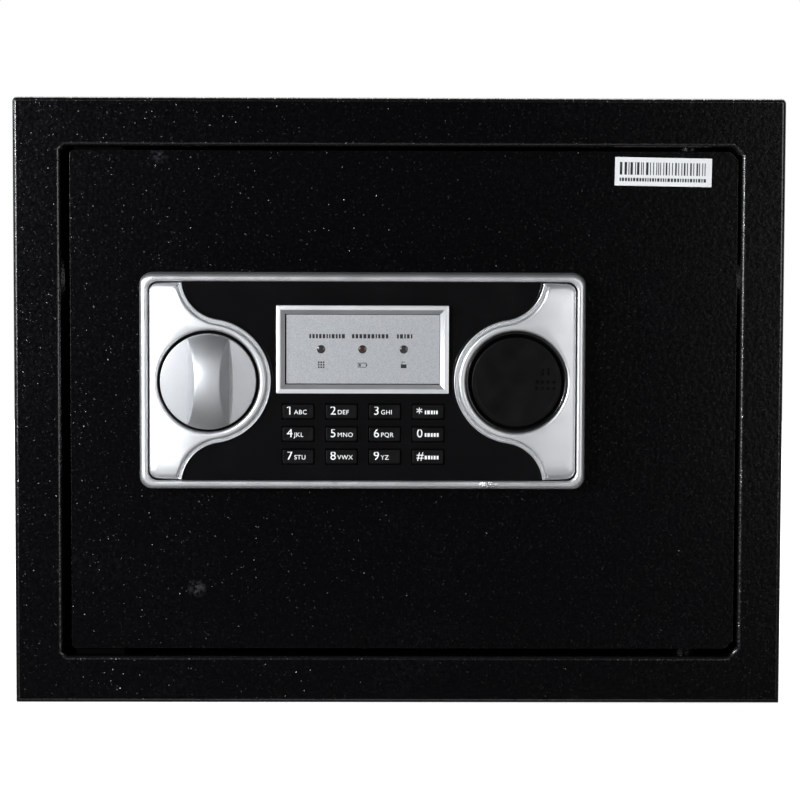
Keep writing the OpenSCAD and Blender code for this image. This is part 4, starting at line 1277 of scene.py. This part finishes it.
def contacts():
    """A plate and a coned spring at each end of every cell."""
    low, high, _ = box_mm("battery_contacts")
    plate_half = 5
    front = CELL_MIDDLE.y - plate_half
    back = CELL_MIDDLE.y + plate_half
    made = []
    for z in CELL_ROWS:
        for side in (-1, 1):
            wall = high.x if side > 0 else low.x
            face = wall - side * 0.6
            plate = block((min(wall, face), front, z - plate_half), (max(wall, face), back, z + plate_half))
            made.append(make("plate", [plate], FINISH["zinc_steel"]))
            gap = abs(face - (CELL_MIDDLE.x + side * (CELL_HIGH.x - CELL_LOW.x) / 2)) - 0.7
            turn = Matrix.Rotation(-side * pi / 2, 4, "Y")
            place = Matrix.Translation(Vector((wall - side * 0.95, CELL_MIDDLE.y, z)) * MM) @ turn
            made.append(wound("cone", 3, 3.4, 2.2, gap, 0.32, FINISH["steel"], place))
    return joined("contacts", made)


def reset_cap():
    """Red push button with a rolled edge and a shallow dish."""
    low, high, centre = box_mm("reset_button")
    collar = 1.5
    stem_r = 2
    r = (high.x - low.x) / 2 - collar
    face = high.y
    profile = [(0, face - 0.5), (r - 1.4, face - 0.4), (r - 0.7, face), (r - 0.2, face - 0.15),
               (r, face - 0.6), (r, face - 3.4), (r + collar, face - 3.4), (r + collar, face - 4.4),
               (stem_r, face - 4.4), (stem_r, low.y), (0, low.y)]
    return make("reset_cap", [turned(centre.x, centre.z, profile, 64)], FINISH["button_red"])


fit(bobbin(), "solenoid_coil")
return_spring()
fit(cells(), "batteries")
fit(contacts(), "battery_contacts")
fit(reset_cap(), "reset_button")

# ---------------------------------------------------------------- stage, light and camera


def look_from(place, target, turn=0.0):
    """Matrix that stands at place and looks at target, turned about the line of sight."""
    forward = (Vector(target) - Vector(place)).normalized()
    right = forward.cross(Vector((0, 0, 1))).normalized()
    up = right.cross(forward)
    turned_right = right * cos(turn) + up * sin(turn)
    turned_up = up * cos(turn) - right * sin(turn)
    basis = Matrix((turned_right, turned_up, -forward)).transposed().to_4x4()
    return Matrix.Translation(place) @ basis


def softbox(name, place, size, power, color=(1, 1, 1), target=(0, -0.1, 0.15)):
    """A rectangular soft light aimed at the object."""
    lamp = bpy.data.lights.new(name, "AREA")
    lamp.shape = "RECTANGLE"
    lamp.size, lamp.size_y = size
    lamp.energy = power
    lamp.color = color
    in_scene(name, lamp).matrix_world = look_from(place, target)


def studio():
    """White surroundings, dim in front of the object, a pale floor and softboxes around it."""
    world = bpy.data.worlds.new("surroundings")
    bpy.context.scene.world = world
    world.use_nodes = True
    tree = world.node_tree
    seen = tree.nodes.new("ShaderNodeLightPath").outputs["Is Camera Ray"]
    ray = tree.nodes.new("ShaderNodeSeparateXYZ")
    tree.links.new(tree.nodes.new("ShaderNodeTexCoord").outputs["Generated"], ray.inputs[0])
    glow = tree.nodes.new("ShaderNodeMapRange")
    tree.links.new(ray.outputs["Y"], glow.inputs["Value"])
    for key, number in zip(RANGE_SOCKETS, (-0.1, 0.6, 0.05, 0.55)):
        glow.inputs[key].default_value = number
    level = tree.nodes.new("ShaderNodeMix")
    tree.links.new(seen, level.inputs[0])
    tree.links.new(glow.outputs["Result"], level.inputs[2])
    level.inputs[3].default_value = 1.0
    backdrop = tree.nodes["Background"]
    backdrop.inputs["Color"].default_value = (1, 1, 1, 1)
    tree.links.new(level.outputs[0], backdrop.inputs["Strength"])

    pale = paper("floor_pale", (0.93, 0.93, 0.93), 0.8)
    pale.set("Emission Color", (1, 1, 1, 1))
    pale.set("Emission Strength", 0.75)
    floor = make("floor", [block((-1300, -390, -20), (1300, 1500, 0))], pale)
    floor.visible_glossy = False
    warm = (1.0, 0.99, 0.98)
    warmer = (1.0, 0.99, 0.96)
    cool = (0.98, 0.99, 1.0)
    blue = (0.9, 0.95, 1.0)
    softbox("front_left", (-0.80, -1.17, 0.31), (0.7, 0.6), 4.8, warm, target=(-0.05, -0.15, 0.16))
    softbox("front_right", (0.88, -1.75, 0.28), (0.8, 0.9), 5.2, cool)
    softbox("low_front", (-0.1, -1.15, -0.45), (0.9, 0.25), 0.6, warmer, target=(0, -0.15, 0.12))
    softbox("spark", (-0.80, -1.32, 0.42), (0.07, 0.10), 10, blue, target=(-0.12, -0.15, 0.2))
    softbox("far_left", (-1.6, -0.9, 0.6), (0.3, 0.6), 10, blue)
    softbox("overhead", (0.0, 1.3, 2.2), (2.4, 1.6), 70, target=(0, 1.1, 0))
    view = bpy.context.scene.view_settings
    view.view_transform = "Standard"
    view.look = "None"


CAMERA_AT = (-0.01565, -1.650, 0.2695)
CAMERA_AIM = (CAMERA_AT[0] + 0.0108, CAMERA_AT[1] + 1.0, CAMERA_AT[2] - 0.0788)
CAMERA_TURN = 0.0031
SENSOR_MM = 36
FOCAL_IN_FRAMES = 3.8065


def camera():
    """A long lens in front of the door, a little above its middle."""
    lens_data = bpy.data.cameras.new("camera")
    lens_data.sensor_width = SENSOR_MM
    lens_data.lens = SENSOR_MM * FOCAL_IN_FRAMES
    holder = in_scene("camera", lens_data)
    holder.matrix_world = look_from(CAMERA_AT, CAMERA_AIM, CAMERA_TURN)
    bpy.context.scene.camera = holder


studio()
camera()
